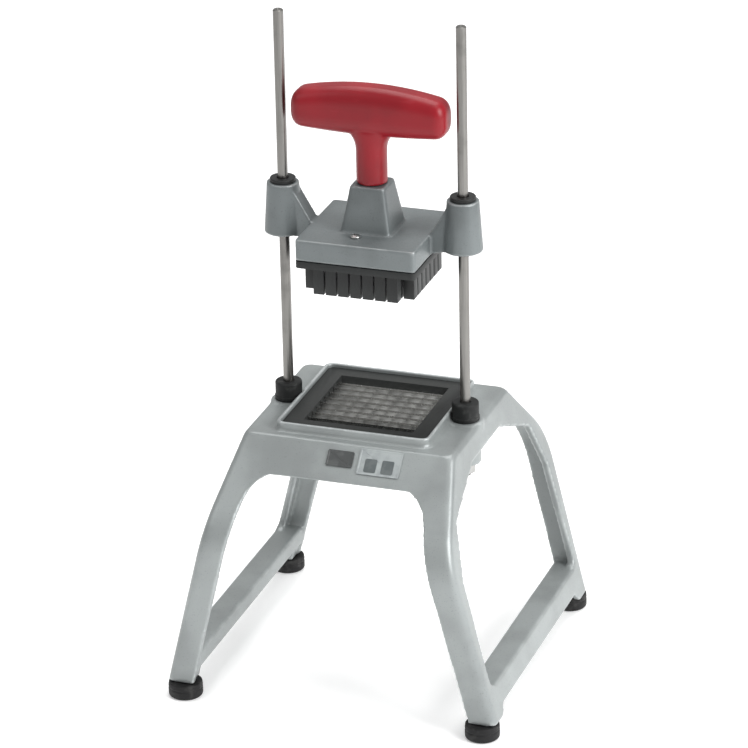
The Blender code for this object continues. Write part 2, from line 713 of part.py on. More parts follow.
def pusher_head(parent):
    """The sliding casting: plate with a skirt, tower for the handle and a sleeve on each rod."""
    top = 0.0
    base = -PLATE_TOP  # heights are measured from the plate's top, where the parent stands
    plate = rounded_block(
        "pusher_head",
        PLATE_HALF_WIDTH,
        PLATE_HALF_DEPTH,
        PLATE_CORNER_RADIUS,
        top - SKIRT_HEIGHT,
        top,
        parent=parent,
    )
    sleeves, gussets, bores = [], [], []
    for side in SIDES:
        place = (side * ROD_SPACING / 2, 0, 0)
        profile = [
            (0, base + SLEEVE_BOTTOM),
            (SLEEVE_BOTTOM_RADIUS, base + SLEEVE_BOTTOM),
            (SLEEVE_TOP_RADIUS, base + SLEEVE_TOP),
            (0, base + SLEEVE_TOP),
        ]
        sleeves.append(turned("sleeve", profile, location=place))
        inner = PLATE_HALF_WIDTH - OVERLAP
        outline = [
            (side * inner, top - SKIRT_HEIGHT + OVERLAP),
            (side * ROD_SPACING / 2, base + SLEEVE_BOTTOM + OVERLAP),
            (side * ROD_SPACING / 2, base + SLEEVE_TOP - GUSSET_DROP),
            (side * (ROD_SPACING / 2 - SLEEVE_TOP_RADIUS + OVERLAP), base + SLEEVE_TOP - GUSSET_DROP),
            (side * inner, top - OVERLAP),
        ]
        gussets.append(prism("gusset", outline, "Y", -GUSSET_WIDTH / 2, GUSSET_WIDTH / 2))
        bores.append(sleeve_bore(side))
    combine(plate, merged("gussets", gussets), "UNION")
    combine(plate, merged("sleeves", sleeves), "UNION")
    tower_top = base + TOWER_TOP
    rings = [
        rounded_rectangle(size / 2, size / 2, TOWER_CORNER_RADIUS, z)
        for size, z in ((TOWER_BOTTOM_SIZE, top - OVERLAP), (TOWER_TOP_SIZE, tower_top))
    ]
    combine(plate, new_object("tower", *lofted(rings)), "UNION")
    skirt_half_x, skirt_half_y = PLATE_HALF_WIDTH - SKIRT_WALL, PLATE_HALF_DEPTH - SKIRT_WALL
    pocket = rounded_block(
        "skirt_pocket", skirt_half_x, skirt_half_y, OVERLAP, top - SKIRT_HEIGHT - PAST, top - PLATE_THICKNESS
    )
    combine(plate, pocket, "DIFFERENCE")
    roof = tower_top - TOWER_ROOF
    rings = [
        rounded_rectangle(size / 2 - TOWER_WALL, size / 2 - TOWER_WALL, OVERLAP, z)
        for size, z in ((TOWER_BOTTOM_SIZE, top - PLATE_THICKNESS - OVERLAP), (TOWER_TOP_SIZE, roof))
    ]
    combine(plate, new_object("tower_cavity", *lofted(rings)), "DIFFERENCE")
    bores.append(rod("stud_bore", STUD_RADIUS + SCREW_CLEARANCE, roof - OVERLAP, tower_top + PAST))
    for x, y in block_screw_places():
        radius = BLOCK_SCREW_RADIUS + SCREW_CLEARANCE
        low = top - PLATE_THICKNESS - OVERLAP
        bores.append(rod("screw_bore", radius, low, top + PAST, SMALL_SEGMENTS, location=(x, y, 0)))
    combine(plate, merged("head_bores", bores), "DIFFERENCE")
    return grey_casting(plate)


def sleeve_bore(side):
    """The bore in a sleeve: through for the rod, wider at both ends for the bushes."""
    place = (side * ROD_SPACING / 2, 0, 0)
    through = ROD_RADIUS + RUNNING_CLEARANCE + BUSH_WALL / 2
    socket = ROD_RADIUS + RUNNING_CLEARANCE + BUSH_WALL + FACE_GAP
    flange = BUSH_FLANGE_RADIUS + FACE_GAP
    low, high = SLEEVE_BOTTOM - PLATE_TOP, SLEEVE_TOP - PLATE_TOP
    depth = BUSH_LENGTH + FACE_GAP
    recess = low + BUSH_FLANGE_THICKNESS + 2 * FACE_GAP
    profile = [
        (0, low - PAST),
        (flange, low - PAST),
        (flange, recess),
        (socket, recess),
        (socket, recess + depth),
        (through, recess + depth),
        (through, high - depth),
        (socket, high - depth),
        (socket, high + PAST),
        (0, high + PAST),
    ]
    return turned("sleeve_bore", profile, location=place)


def bushes(parent):
    """A flanged plastic bush at each end of each sleeve."""
    bore = ROD_RADIUS + RUNNING_CLEARANCE
    outer = bore + BUSH_WALL
    top = SLEEVE_TOP - PLATE_TOP + FACE_GAP
    low = SLEEVE_BOTTOM - PLATE_TOP + FACE_GAP
    upper = [
        (bore, top - BUSH_LENGTH),
        (outer, top - BUSH_LENGTH),
        (outer, top),
        (BUSH_FLANGE_RADIUS, top),
        (BUSH_FLANGE_RADIUS, top + BUSH_FLANGE_THICKNESS),
        (bore, top + BUSH_FLANGE_THICKNESS),
    ]
    lower = [
        (bore, low),
        (BUSH_FLANGE_RADIUS, low),
        (BUSH_FLANGE_RADIUS, low + BUSH_FLANGE_THICKNESS),
        (outer, low + BUSH_FLANGE_THICKNESS),
        (outer, low + BUSH_FLANGE_THICKNESS + BUSH_LENGTH),
        (bore, low + BUSH_FLANGE_THICKNESS + BUSH_LENGTH),
    ]
    for side_name, side in LEFT_RIGHT.items():
        place = {"parent": parent, "location": (side * ROD_SPACING / 2, 0, 0)}
        black_plastic(turned(f"upper_bush_{side_name}", upper, **place))
        black_plastic(turned(f"lower_bush_{side_name}", lower, **place))


def block_screw_places():
    """The two screws that hold the pusher block stand on a diagonal of the plate."""
    return ((-BLOCK_SCREW_X, -BLOCK_SCREW_Y), (BLOCK_SCREW_X, BLOCK_SCREW_Y))


def pusher_block(parent):
    """The block of square fingers that push the food through the blades."""
    pitch = BLADE_OPENING / CELLS
    finger = pitch - BLADE_THICKNESS - 2 * BLADE_CLEARANCE
    tip = FINGER_TIP - PLATE_TOP
    flange_top = -SKIRT_HEIGHT - FACE_GAP
    root = flange_top - BLOCK_FLANGE_THICKNESS
    top = -PLATE_THICKNESS - BLOCK_TOP_GAP
    plug = SKIRT_WALL + FACE_GAP
    sections = [
        (0, PLATE_CORNER_RADIUS, root),
        (0, PLATE_CORNER_RADIUS, flange_top),
        (plug, OVERLAP, flange_top),
        (plug, OVERLAP, top),
    ]
    rings = [
        rounded_rectangle(PLATE_HALF_WIDTH - inset, PLATE_HALF_DEPTH - inset, radius, z)
        for inset, radius, z in sections
    ]
    block = new_object("pusher_block", *lofted(rings), parent=parent)
    fingers = []
    middle = (CELLS - 1) / 2
    for row in range(CELLS):
        for column in range(CELLS):
            if {row, column} <= {0, CELLS - 1}:
                continue
            x, y = (column - middle) * pitch, (row - middle) * pitch
            span_x = (x - finger / 2, x + finger / 2)
            span_y = (y - finger / 2, y + finger / 2)
            fingers.append(box("finger", span_x, span_y, (tip, root + OVERLAP)))
    combine(block, merged("fingers", fingers), "UNION")
    bores = []
    for x, y in block_screw_places():
        radius = BLOCK_SCREW_RADIUS + SCREW_CLEARANCE
        low = top - BLOCK_SCREW_REACH - SCREW_CLEARANCE
        bores.append(rod("block_bore", radius, low, top + PAST, SMALL_SEGMENTS, location=(x, y, 0)))
    combine(block, merged("block_bores", bores), "DIFFERENCE")
    return black_plastic(block)


def block_screws(parent):
    """Pan-head screws through the plate into the block."""
    head_low = FACE_GAP
    head_high = head_low + BLOCK_SCREW_HEAD_HEIGHT
    tip = -PLATE_THICKNESS - BLOCK_TOP_GAP - BLOCK_SCREW_REACH
    profile = [
        (0, tip),
        (BLOCK_SCREW_RADIUS, tip),
        (BLOCK_SCREW_RADIUS, head_low),
        (BLOCK_SCREW_HEAD_RADIUS, head_low),
        (BLOCK_SCREW_HEAD_RADIUS, head_high - BLOCK_SCREW_HEAD_HEIGHT / 2),
        (BLOCK_SCREW_HEAD_RADIUS / 2, head_high),
        (0, head_high),
    ]
    for name, place in zip(("front", "rear"), block_screw_places()):
        made = turned(f"block_screw_{name}", profile, SMALL_SEGMENTS, parent=parent)
        made.location = (*place, 0)
        steel(made)


def handle_bar_ring(x):
    """One section of the handle's bar: an ellipse whose size follows the crown and the round ends."""
    share = abs(x) / HANDLE_HALF_LENGTH
    crown = HANDLE_CROWN * (1 - share**2)
    belly = HANDLE_BELLY * (1 - share**2)
    from_end = HANDLE_HALF_LENGTH - abs(x)
    inset = 0.0
    if from_end < HANDLE_END_RADIUS:
        inset = HANDLE_END_RADIUS - math.sqrt(HANDLE_END_RADIUS**2 - (HANDLE_END_RADIUS - from_end) ** 2)
    top = HANDLE_MIDDLE + HANDLE_END_HEIGHT / 2 + crown - inset
    bottom = HANDLE_MIDDLE - HANDLE_END_HEIGHT / 2 - belly + inset
    half_depth = HANDLE_DEPTH / 2 - inset
    points = []
    for i in range(ROUND_SEGMENTS):
        angle = 2 * math.pi * i / ROUND_SEGMENTS
        y = half_depth * math.copysign(abs(math.cos(angle)) ** 0.8, math.cos(angle))
        z = (top - bottom) / 2 * math.copysign(abs(math.sin(angle)) ** 0.8, math.sin(angle))
        points.append((x, y, (top + bottom) / 2 - PLATE_TOP + z))
    return points


def t_handle(parent):
    """The moulded handle: a crowned bar on a stem."""
    places = [HANDLE_HALF_LENGTH - HANDLE_END_RADIUS * (1 - math.cos(math.pi / 2 * i / CORNER_STEPS))
              for i in range(CORNER_STEPS + 1)]
    inner = HANDLE_HALF_LENGTH - HANDLE_END_RADIUS
    places += [inner * (CORNER_STEPS - i) / CORNER_STEPS for i in range(1, CORNER_STEPS + 1)]
    places = [-place for place in places] + places[-2::-1]
    handle = new_object("t_handle", *lofted([handle_bar_ring(x) for x in places]), parent=parent)
    low = TOWER_TOP + FACE_GAP - PLATE_TOP
    joint = HANDLE_MIDDLE - HANDLE_END_HEIGHT / 2 - HANDLE_BELLY - PLATE_TOP
    top = HANDLE_MIDDLE - PLATE_TOP
    stem = [
        (0, low),
        (STEM_RADIUS, low),
        (STEM_RADIUS, joint),
        (STEM_TOP_RADIUS, top),
        (0, top),
    ]
    combine(handle, turned("stem", stem), "UNION")
    socket_top = low + STUD_IN_HANDLE + SCREW_CLEARANCE
    bore = rod("stud_socket", STUD_RADIUS + SCREW_CLEARANCE, low - PAST, socket_top)
    combine(handle, bore, "DIFFERENCE")
    return red_plastic(handle)


def handle_fixing(parent):
    """The stud from the handle through the tower, with its washer and nut inside."""
    roof = TOWER_TOP - TOWER_ROOF - PLATE_TOP
    washer_high = roof - FACE_GAP
    washer_low = washer_high - STUD_WASHER_THICKNESS
    nut_low = washer_low - FACE_GAP - STUD_NUT_HEIGHT
    stud_top = TOWER_TOP + FACE_GAP - PLATE_TOP + STUD_IN_HANDLE
    hole = STUD_RADIUS + SCREW_CLEARANCE
    steel(rod("handle_stud", STUD_RADIUS, nut_low - STUD_BELOW_NUT, stud_top, parent=parent))
    name = "handle_washer"
    steel(ring(name, hole, STUD_WASHER_RADIUS, washer_low, washer_high, parent=parent))
    name = "handle_nut"
    steel(hexagon_nut(name, hole, STUD_NUT_ACROSS_FLATS, nut_low, STUD_NUT_HEIGHT, parent=parent))


# The object --------------------------------------------------------------------------------------


def empty(name, location, parent=None):
    """A parent that carries no shape."""
    made = bpy.data.objects.new(name, None)
    bpy.context.scene.collection.objects.link(made)
    made.location = location
    made.parent = parent
    return made


def main():
    for existing in list(bpy.data.objects):
        bpy.data.objects.remove(existing)
    stand = empty("stand", (0, 0, 0))
    cast_frame().parent = stand
    feet(stand)
    guide_rods(stand)
    blade_cartridge(stand)
    labels(stand)
    slide = empty("pusher_slide_axis", (0, 0, PLATE_TOP), stand)
    pusher_head(slide)
    bushes(slide)
    pusher_block(slide)
    block_screws(slide)
    t_handle(slide)
    handle_fixing(slide)


main()
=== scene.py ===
"""Vegetable dicer: the finished look of its cast stand, blade cartridge and sliding pusher.

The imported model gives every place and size. Each sub-assembly is a class that models its pieces on
the bench, dresses them in a finish and lets them ride on the stand or on the pusher.
"""

import json
import logging
import math
from collections.abc import Callable, Sequence
from dataclasses import dataclass, field
from enum import Enum

import bpy
from mathutils import Matrix, Vector

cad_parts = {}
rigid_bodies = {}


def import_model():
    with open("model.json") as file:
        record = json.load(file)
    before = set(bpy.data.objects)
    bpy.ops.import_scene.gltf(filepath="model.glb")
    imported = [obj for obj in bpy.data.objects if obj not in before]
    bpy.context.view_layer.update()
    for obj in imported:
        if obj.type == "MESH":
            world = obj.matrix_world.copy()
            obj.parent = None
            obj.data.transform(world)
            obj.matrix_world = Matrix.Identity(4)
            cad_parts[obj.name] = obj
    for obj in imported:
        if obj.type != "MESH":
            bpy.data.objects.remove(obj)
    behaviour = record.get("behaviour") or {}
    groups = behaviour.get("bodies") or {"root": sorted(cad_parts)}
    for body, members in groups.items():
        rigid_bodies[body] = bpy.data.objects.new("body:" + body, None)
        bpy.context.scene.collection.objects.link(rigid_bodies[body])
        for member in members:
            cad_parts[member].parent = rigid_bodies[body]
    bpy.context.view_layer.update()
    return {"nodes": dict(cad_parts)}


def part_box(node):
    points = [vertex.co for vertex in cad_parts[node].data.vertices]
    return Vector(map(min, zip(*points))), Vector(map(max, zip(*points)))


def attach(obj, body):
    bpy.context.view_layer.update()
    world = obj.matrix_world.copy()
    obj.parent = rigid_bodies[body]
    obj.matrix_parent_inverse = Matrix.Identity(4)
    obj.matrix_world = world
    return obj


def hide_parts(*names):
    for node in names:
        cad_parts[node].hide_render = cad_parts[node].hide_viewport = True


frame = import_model()

MM = 0.001
MERGE = 0.01 * MM
ROD_HOLE = 4.15 * MM  # the radius of what fits tightly round a guide rod

Colour = tuple[float, float, float]
Point = tuple[float, float, float]
Outline = Sequence[tuple[float, float]]
Corners = Sequence[tuple[float, float, float]]

log = logging.getLogger("dicer")


class Body(Enum):
    """The two bodies of the dicer."""

    STAND = "stand"
    PUSHER = "pusher"


class Slot(Enum):
    """A name for the slot in the record that a piece's finish belongs to."""

    FRAME_PAINT = "frame_paint"
    HEAD_CASTING = "head_casting"
    ROD_STEEL = "rod_steel"
    BLADE_STEEL = "blade_steel"
    FIXING_STEEL = "fixing_steel"
    BLACK_PLASTIC = "black_plastic"
    RED_PLASTIC = "red_plastic"
    RUBBER = "rubber"
    LABEL = "label"


class Side(Enum):
    """Left and right of the dicer, seen from its front."""

    LEFT = "left"
    RIGHT = "right"


# Shader maths ------------------------------------------------------------------------------------


class Value:
    """A number that varies over a surface. Arithmetic on it adds Math nodes."""

    def __init__(self, shader: "Shader", socket: bpy.types.NodeSocket) -> None:
        """Wraps one output socket.

        Args:
            shader: The material that the socket is in.
            socket: The output that carries the number.
        """
        self.shader = shader
        self.socket = socket

    def _math(self, operation: str, first: "Value | float", second: "Value | float") -> "Value":
        """Adds one Math node.

        Args:
            operation: The node's operation.
            first: Its first input.
            second: Its second input.

        Returns:
            The result.
        """
        made = self.shader.node("ShaderNodeMath", {"operation": operation}, {0: first, 1: second})
        return Value(self.shader, made.outputs[0])

    def __add__(self, other: "Value | float") -> "Value":
        """The sum."""
        return self._math("ADD", self, other)

    __radd__ = __add__

    def __sub__(self, other: "Value | float") -> "Value":
        """The difference."""
        return self._math("SUBTRACT", self, other)

    def __rsub__(self, other: "Value | float") -> "Value":
        """The difference, the other way round."""
        return self._math("SUBTRACT", other, self)

    def __mul__(self, other: "Value | float") -> "Value":
        """The product."""
        return self._math("MULTIPLY", self, other)

    __rmul__ = __mul__

    def between(self, low: float, high: float) -> "Value":
        """A smooth 0 to 1 mask as the number goes from low to high.

        Args:
            low: Where the mask starts.
            high: Where it is full.

        Returns:
            The mask.
        """
        settings = {"interpolation_type": "SMOOTHSTEP"}
        made = self.shader.node("ShaderNodeMapRange", settings, {0: self, 1: low, 2: high})
        return Value(self.shader, made.outputs[0])


class Shader:
    """A procedural material while it is put together."""

    def __init__(self, name: str) -> None:
        """Starts a material with its Principled shader.

        Args:
            name: The material's name.
        """
        self.material = bpy.data.materials.new(name)
        self.material.use_nodes = True
        self.surface = self.material.node_tree.nodes["Principled BSDF"]

    def node(
        self, kind: str, settings: dict | None = None, sockets: dict | None = None
    ) -> bpy.types.Node:
        """Adds any node.

        Args:
            kind: The node's type.
            settings: Its own settings, set first.
            sockets: What goes into its inputs, by name or number: a Value, a socket or a constant.

        Returns:
            The node.
        """
        made = self.material.node_tree.nodes.new(kind)
        for name, value in (settings or {}).items():
            setattr(made, name, value)
        for key, value in (sockets or {}).items():
            self.feed(made.inputs[key], value)
        return made

    def feed(self, target: bpy.types.NodeSocket, value: object) -> None:
        """Links a value into a socket, or sets the socket's own number.

        Args:
            target: The input socket.
            value: A Value, an output socket, or a constant.
        """
        if isinstance(value, Value):
            value = value.socket
        if isinstance(value, bpy.types.NodeSocket):
            self.material.node_tree.links.new(value, target)
        else:
            target.default_value = value

    def place(self, stretch: Point = (1, 1, 1)) -> bpy.types.NodeSocket:
        """Object coordinates, scaled along each axis.

        Args:
            stretch: The scale along each axis.

        Returns:
            The coordinates.
        """
        where = self.node("ShaderNodeTexCoord").outputs["Object"]
        if stretch == (1, 1, 1):
            return where
        return self.node("ShaderNodeMapping", None, {"Vector": where, "Scale": stretch}).outputs[0]

    def noise(self, scale: float, detail: float = 3.0, stretch: Point = (1, 1, 1)) -> Value:
        """Fractal noise, about 0.5 in the middle.

        Args:
            scale: Features per metre.
            detail: How many finer layers it has.
            stretch: The pattern's scale along each axis.

        Returns:
            The noise.
        """
        sockets = {"Vector": self.place(stretch), "Scale": scale, "Detail": detail}
        return Value(self, self.node("ShaderNodeTexNoise", None, sockets).outputs[0])

    def along(self, axis: int) -> Value:
        """The object coordinate along one axis, in metres.

        Args:
            axis: 0, 1 or 2 for X, Y or Z.

        Returns:
            The coordinate.
        """
        split = self.node("ShaderNodeSeparateXYZ", None, {0: self.place()})
        return Value(self, split.outputs[axis])

    def edges(self) -> Value:
        """How convex the surface is: above 0.5 on edges, below it in hollows."""
        return Value(self, self.node("ShaderNodeNewGeometry").outputs["Pointiness"])

    def blend(self, share: Value, low: object, high: object) -> bpy.types.NodeSocket:
        """Mixes two colours.

        Args:
            share: The mask, 0 for low and 1 for high.
            low: A colour or a colour socket.
            high: A colour or a colour socket.

        Returns:
            The mixed colour.
        """
        low, high = (c if isinstance(c, bpy.types.NodeSocket) else (*c, 1.0) for c in (low, high))
        made = self.node("ShaderNodeMix", {"data_type": "RGBA"}, {0: share, 6: low, 7: high})
        return made.outputs[2]

    def bump(self, height: Value, distance: float, strength: float = 1.0) -> bpy.types.NodeSocket:
        """A normal from a height.

        Args:
            height: The height, from 0 to 1.
            distance: How much a height of 1 stands out, in metres.
            strength: How strongly the normal follows it.

        Returns:
            The normal.
        """
        sockets = {"Height": height, "Distance": distance, "Strength": strength}
        return self.node("ShaderNodeBump", None, sockets).outputs[0]

    def made(self, **sockets: object) -> bpy.types.Material:
        """Feeds the Principled shader and returns the material.

        Args:
            **sockets: The shader's sockets, with _ for a space.

        Returns:
            The material.
        """
        for name, value in sockets.items():
            self.feed(self.surface.inputs[name.replace("_", " ")], value)
        return self.material


# Finishes ----------------------------------------------------------------------------------------


@dataclass(frozen=True)
class CastPaint:
    """Sprayed metallic paint on a sand casting."""

    name: str
    colour: Colour
    edge: Colour
    # Dark colour for the grain's specks and for the shade painted into hollows and creases.
    speck_and_painted_shade: Colour
    metallic: float = 0.35
    roughness: float = 0.40
    mottle: float = 0.10

    def material(self) -> bpy.types.Material:
        """The paint, with rubbed edges, painted shade and a rougher finish in its hollows, and the
        casting's grain under it.
        """
        shader = Shader(self.name)
        cloud = shader.noise(16, 4)
        grain = shader.noise(850, 3)
        swell = shader.noise(95, 2)
        dark = tuple(part * (1 - self.mottle) for part in self.colour)
        light = tuple(min(1.0, part * (1 + self.mottle)) for part in self.colour)
        base = shader.blend(cloud.between(0.36, 0.64), dark, light)
        speck = grain.between(0.60, 0.72) * 0.25
        base = shader.blend(speck, base, self.speck_and_painted_shade)
        edges = shader.edges()
        worn = edges.between(0.515, 0.56) * (0.35 + shader.noise(60).between(0.4, 0.6) * 0.5)
        base = shader.blend(worn, base, self.edge)
        # Painted shade: the colour is darkened in hollows and concave creases, where shade falls.
        shaded_hollows = 1 - edges.between(0.44, 0.49)
        base = shader.blend(shaded_hollows * 0.6, base, self.speck_and_painted_shade)
        roughness = self.roughness + (cloud - 0.5) * 0.16 + (grain - 0.5) * 0.22 + shaded_hollows * 0.12
        height = grain * 0.35 + swell
        return shader.made(
            Base_Color=base,
            Metallic=self.metallic,
            Roughness=roughness,
            Normal=shader.bump(height, 0.22 * MM, 0.45),
        )


@dataclass(frozen=True)
class BrightSteel:
    """Steel with fine lines along one direction."""

    name: str
    colour: Colour
    roughness: float
    stretch: Point

    def material(self) -> bpy.types.Material:
        """The steel, with drawn lines, dull patches and a little tarnish."""
        shader = Shader(self.name)
        lines = shader.noise(2600, 2, self.stretch)
        patches = shader.noise(45, 4)
        tarnish = tuple(part * 0.62 for part in self.colour)
        bright = tuple(min(1.0, part * 1.22) for part in self.colour)
        base = shader.blend(lines.between(0.35, 0.65), self.colour, bright)
        base = shader.blend(patches.between(0.50, 0.72) * 0.55, base, tarnish)
        roughness = self.roughness + (lines - 0.5) * 0.18 + (patches - 0.5) * 0.20
        return shader.made(
            Base_Color=base,
            Metallic=1.0,
            Roughness=roughness,
            Normal=shader.bump(lines, 0.03 * MM, 0.5),
        )


@dataclass(frozen=True)
class GroundBlade:
    """Blade steel with a bright ground edge along its top."""

    name: str
    colour: Colour
    ground: Colour
    edge_height: float

    def material(self) -> bpy.types.Material:
        """The blade: matt flanks, cross-ground marks and a bright cutting edge."""
        shader = Shader(self.name)
        marks = shader.noise(1900, 2, (1, 1, 0.2))
        patches = shader.noise(70, 3)
        edge = shader.along(2).between(self.edge_height - 0.2 * MM, self.edge_height)
        dull = tuple(part * 0.7 for part in self.colour)
        base = shader.blend(patches.between(0.42, 0.66), self.colour, dull)
        base = shader.blend(edge * (0.6 + marks * 0.4), base, self.ground)
        roughness = 0.34 + (marks - 0.5) * 0.2 - edge * 0.1
        return shader.made(
            Base_Color=base,
            Metallic=1.0,
            Roughness=roughness,
            Normal=shader.bump(marks, 0.03 * MM, 0.4),
        )


@dataclass(frozen=True)
class Moulded:
    """Injection-moulded plastic with a fine spark-eroded texture."""

    name: str
    colour: Colour
    scuff: Colour
    roughness: float
    parting_line: bool = False

    def material(self) -> bpy.types.Material:
        """The plastic, with its texture, rubbed edges and any parting line of the mould."""
        shader = Shader(self.name)
        texture = shader.noise(1500, 2)
        cloud = shader.noise(28, 3)
        scratches = shader.noise(240, 4, (0.25, 1, 1)).between(0.62, 0.70)
        shade = tuple(part * 0.8 for part in self.colour)
        base = shader.blend(cloud.between(0.35, 0.65), shade, self.colour)
        rubbed = shader.edges().between(0.52, 0.58) * 0.35 + scratches * 0.12
        base = shader.blend(rubbed, base, self.scuff)
        height = texture
        if self.parting_line:
            across = shader.along(1)
            height = texture + 3 * (across.between(-0.45 * MM, 0) - across.between(0, 0.45 * MM))
        roughness = self.roughness + (cloud - 0.5) * 0.14 + scratches * 0.08 + (texture - 0.5) * 0.1
        return shader.made(
            Base_Color=base,
            Roughness=roughness,
            Specular_IOR_Level=0.35,
            Normal=shader.bump(height, 0.05 * MM, 0.5),
        )


@dataclass(frozen=True)
class BlackRubber:
    """Matt rubber with a bloom of dust."""

    name: str
    colour: Colour
    dust: Colour

    def material(self) -> bpy.types.Material:
        """The rubber, dusty in patches and dull all over."""
        shader = Shader(self.name)
        bloom = shader.noise(130, 4)
        pores = shader.noise(1700, 2)
        base = shader.blend(bloom.between(0.48, 0.72) * 0.5, self.colour, self.dust)
        roughness = 0.62 + (bloom - 0.5) * 0.2 + (pores - 0.5) * 0.15
        return shader.made(
            Base_Color=base,
            Roughness=roughness,
            Specular_IOR_Level=0.3,
            Normal=shader.bump(pores, 0.06 * MM, 0.6),
        )


@dataclass(frozen=True)
class PrintedSheet:
    """A blank printed plate under a clear film."""

    name: str
    colour: Colour
    fade: Colour
    roughness: float = 0.32

    def material(self) -> bpy.types.Material:
        """The sheet: faded in patches, with a faint grain in its film."""
        shader = Shader(self.name)
        fade = shader.noise(160, 3)
        film = shader.noise(900, 2)
        base = shader.blend(fade.between(0.42, 0.66), self.colour, self.fade)
        roughness = self.roughness + (film - 0.5) * 0.2
        return shader.made(
            Base_Color=base,
            Roughness=roughness,
            Normal=shader.bump(film, 0.03 * MM, 0.35),
        )


# The bench ---------------------------------------------------------------------------------------


def clear_selection() -> None:
    """Leaves object mode with nothing selected."""
    if bpy.context.mode != "OBJECT":
        bpy.ops.object.mode_set(mode="OBJECT")
    bpy.ops.object.select_all(action="DESELECT")


def softened(corners: Corners, steps: int = 5) -> list[tuple[float, float]]:
    """An open outline with rounded corners.

    Args:
        corners: (a, b, radius) for each corner. The first and last have no radius.
        steps: How many lengths make each round corner.

    Returns:
        The outline's (a, b) points.
    """
    outline = []
    for i, (a, b, radius) in enumerate(corners):
        if not radius:
            outline.append((a, b))
            continue
        here = Vector((a, b))
        before = (Vector(corners[i - 1][:2]) - here).normalized()
        after = (Vector(corners[(i + 1) % len(corners)][:2]) - here).normalized()
        half = before.angle(after) / 2
        centre = here + (before + after).normalized() * radius / math.sin(half)
        start = here + before * radius / math.tan(half) - centre
        end = here + after * radius / math.tan(half) - centre
        for step in range(steps + 1):
            ray = start.lerp(end, step / steps).normalized() * radius
            outline.append(tuple(centre + ray))
    return outline


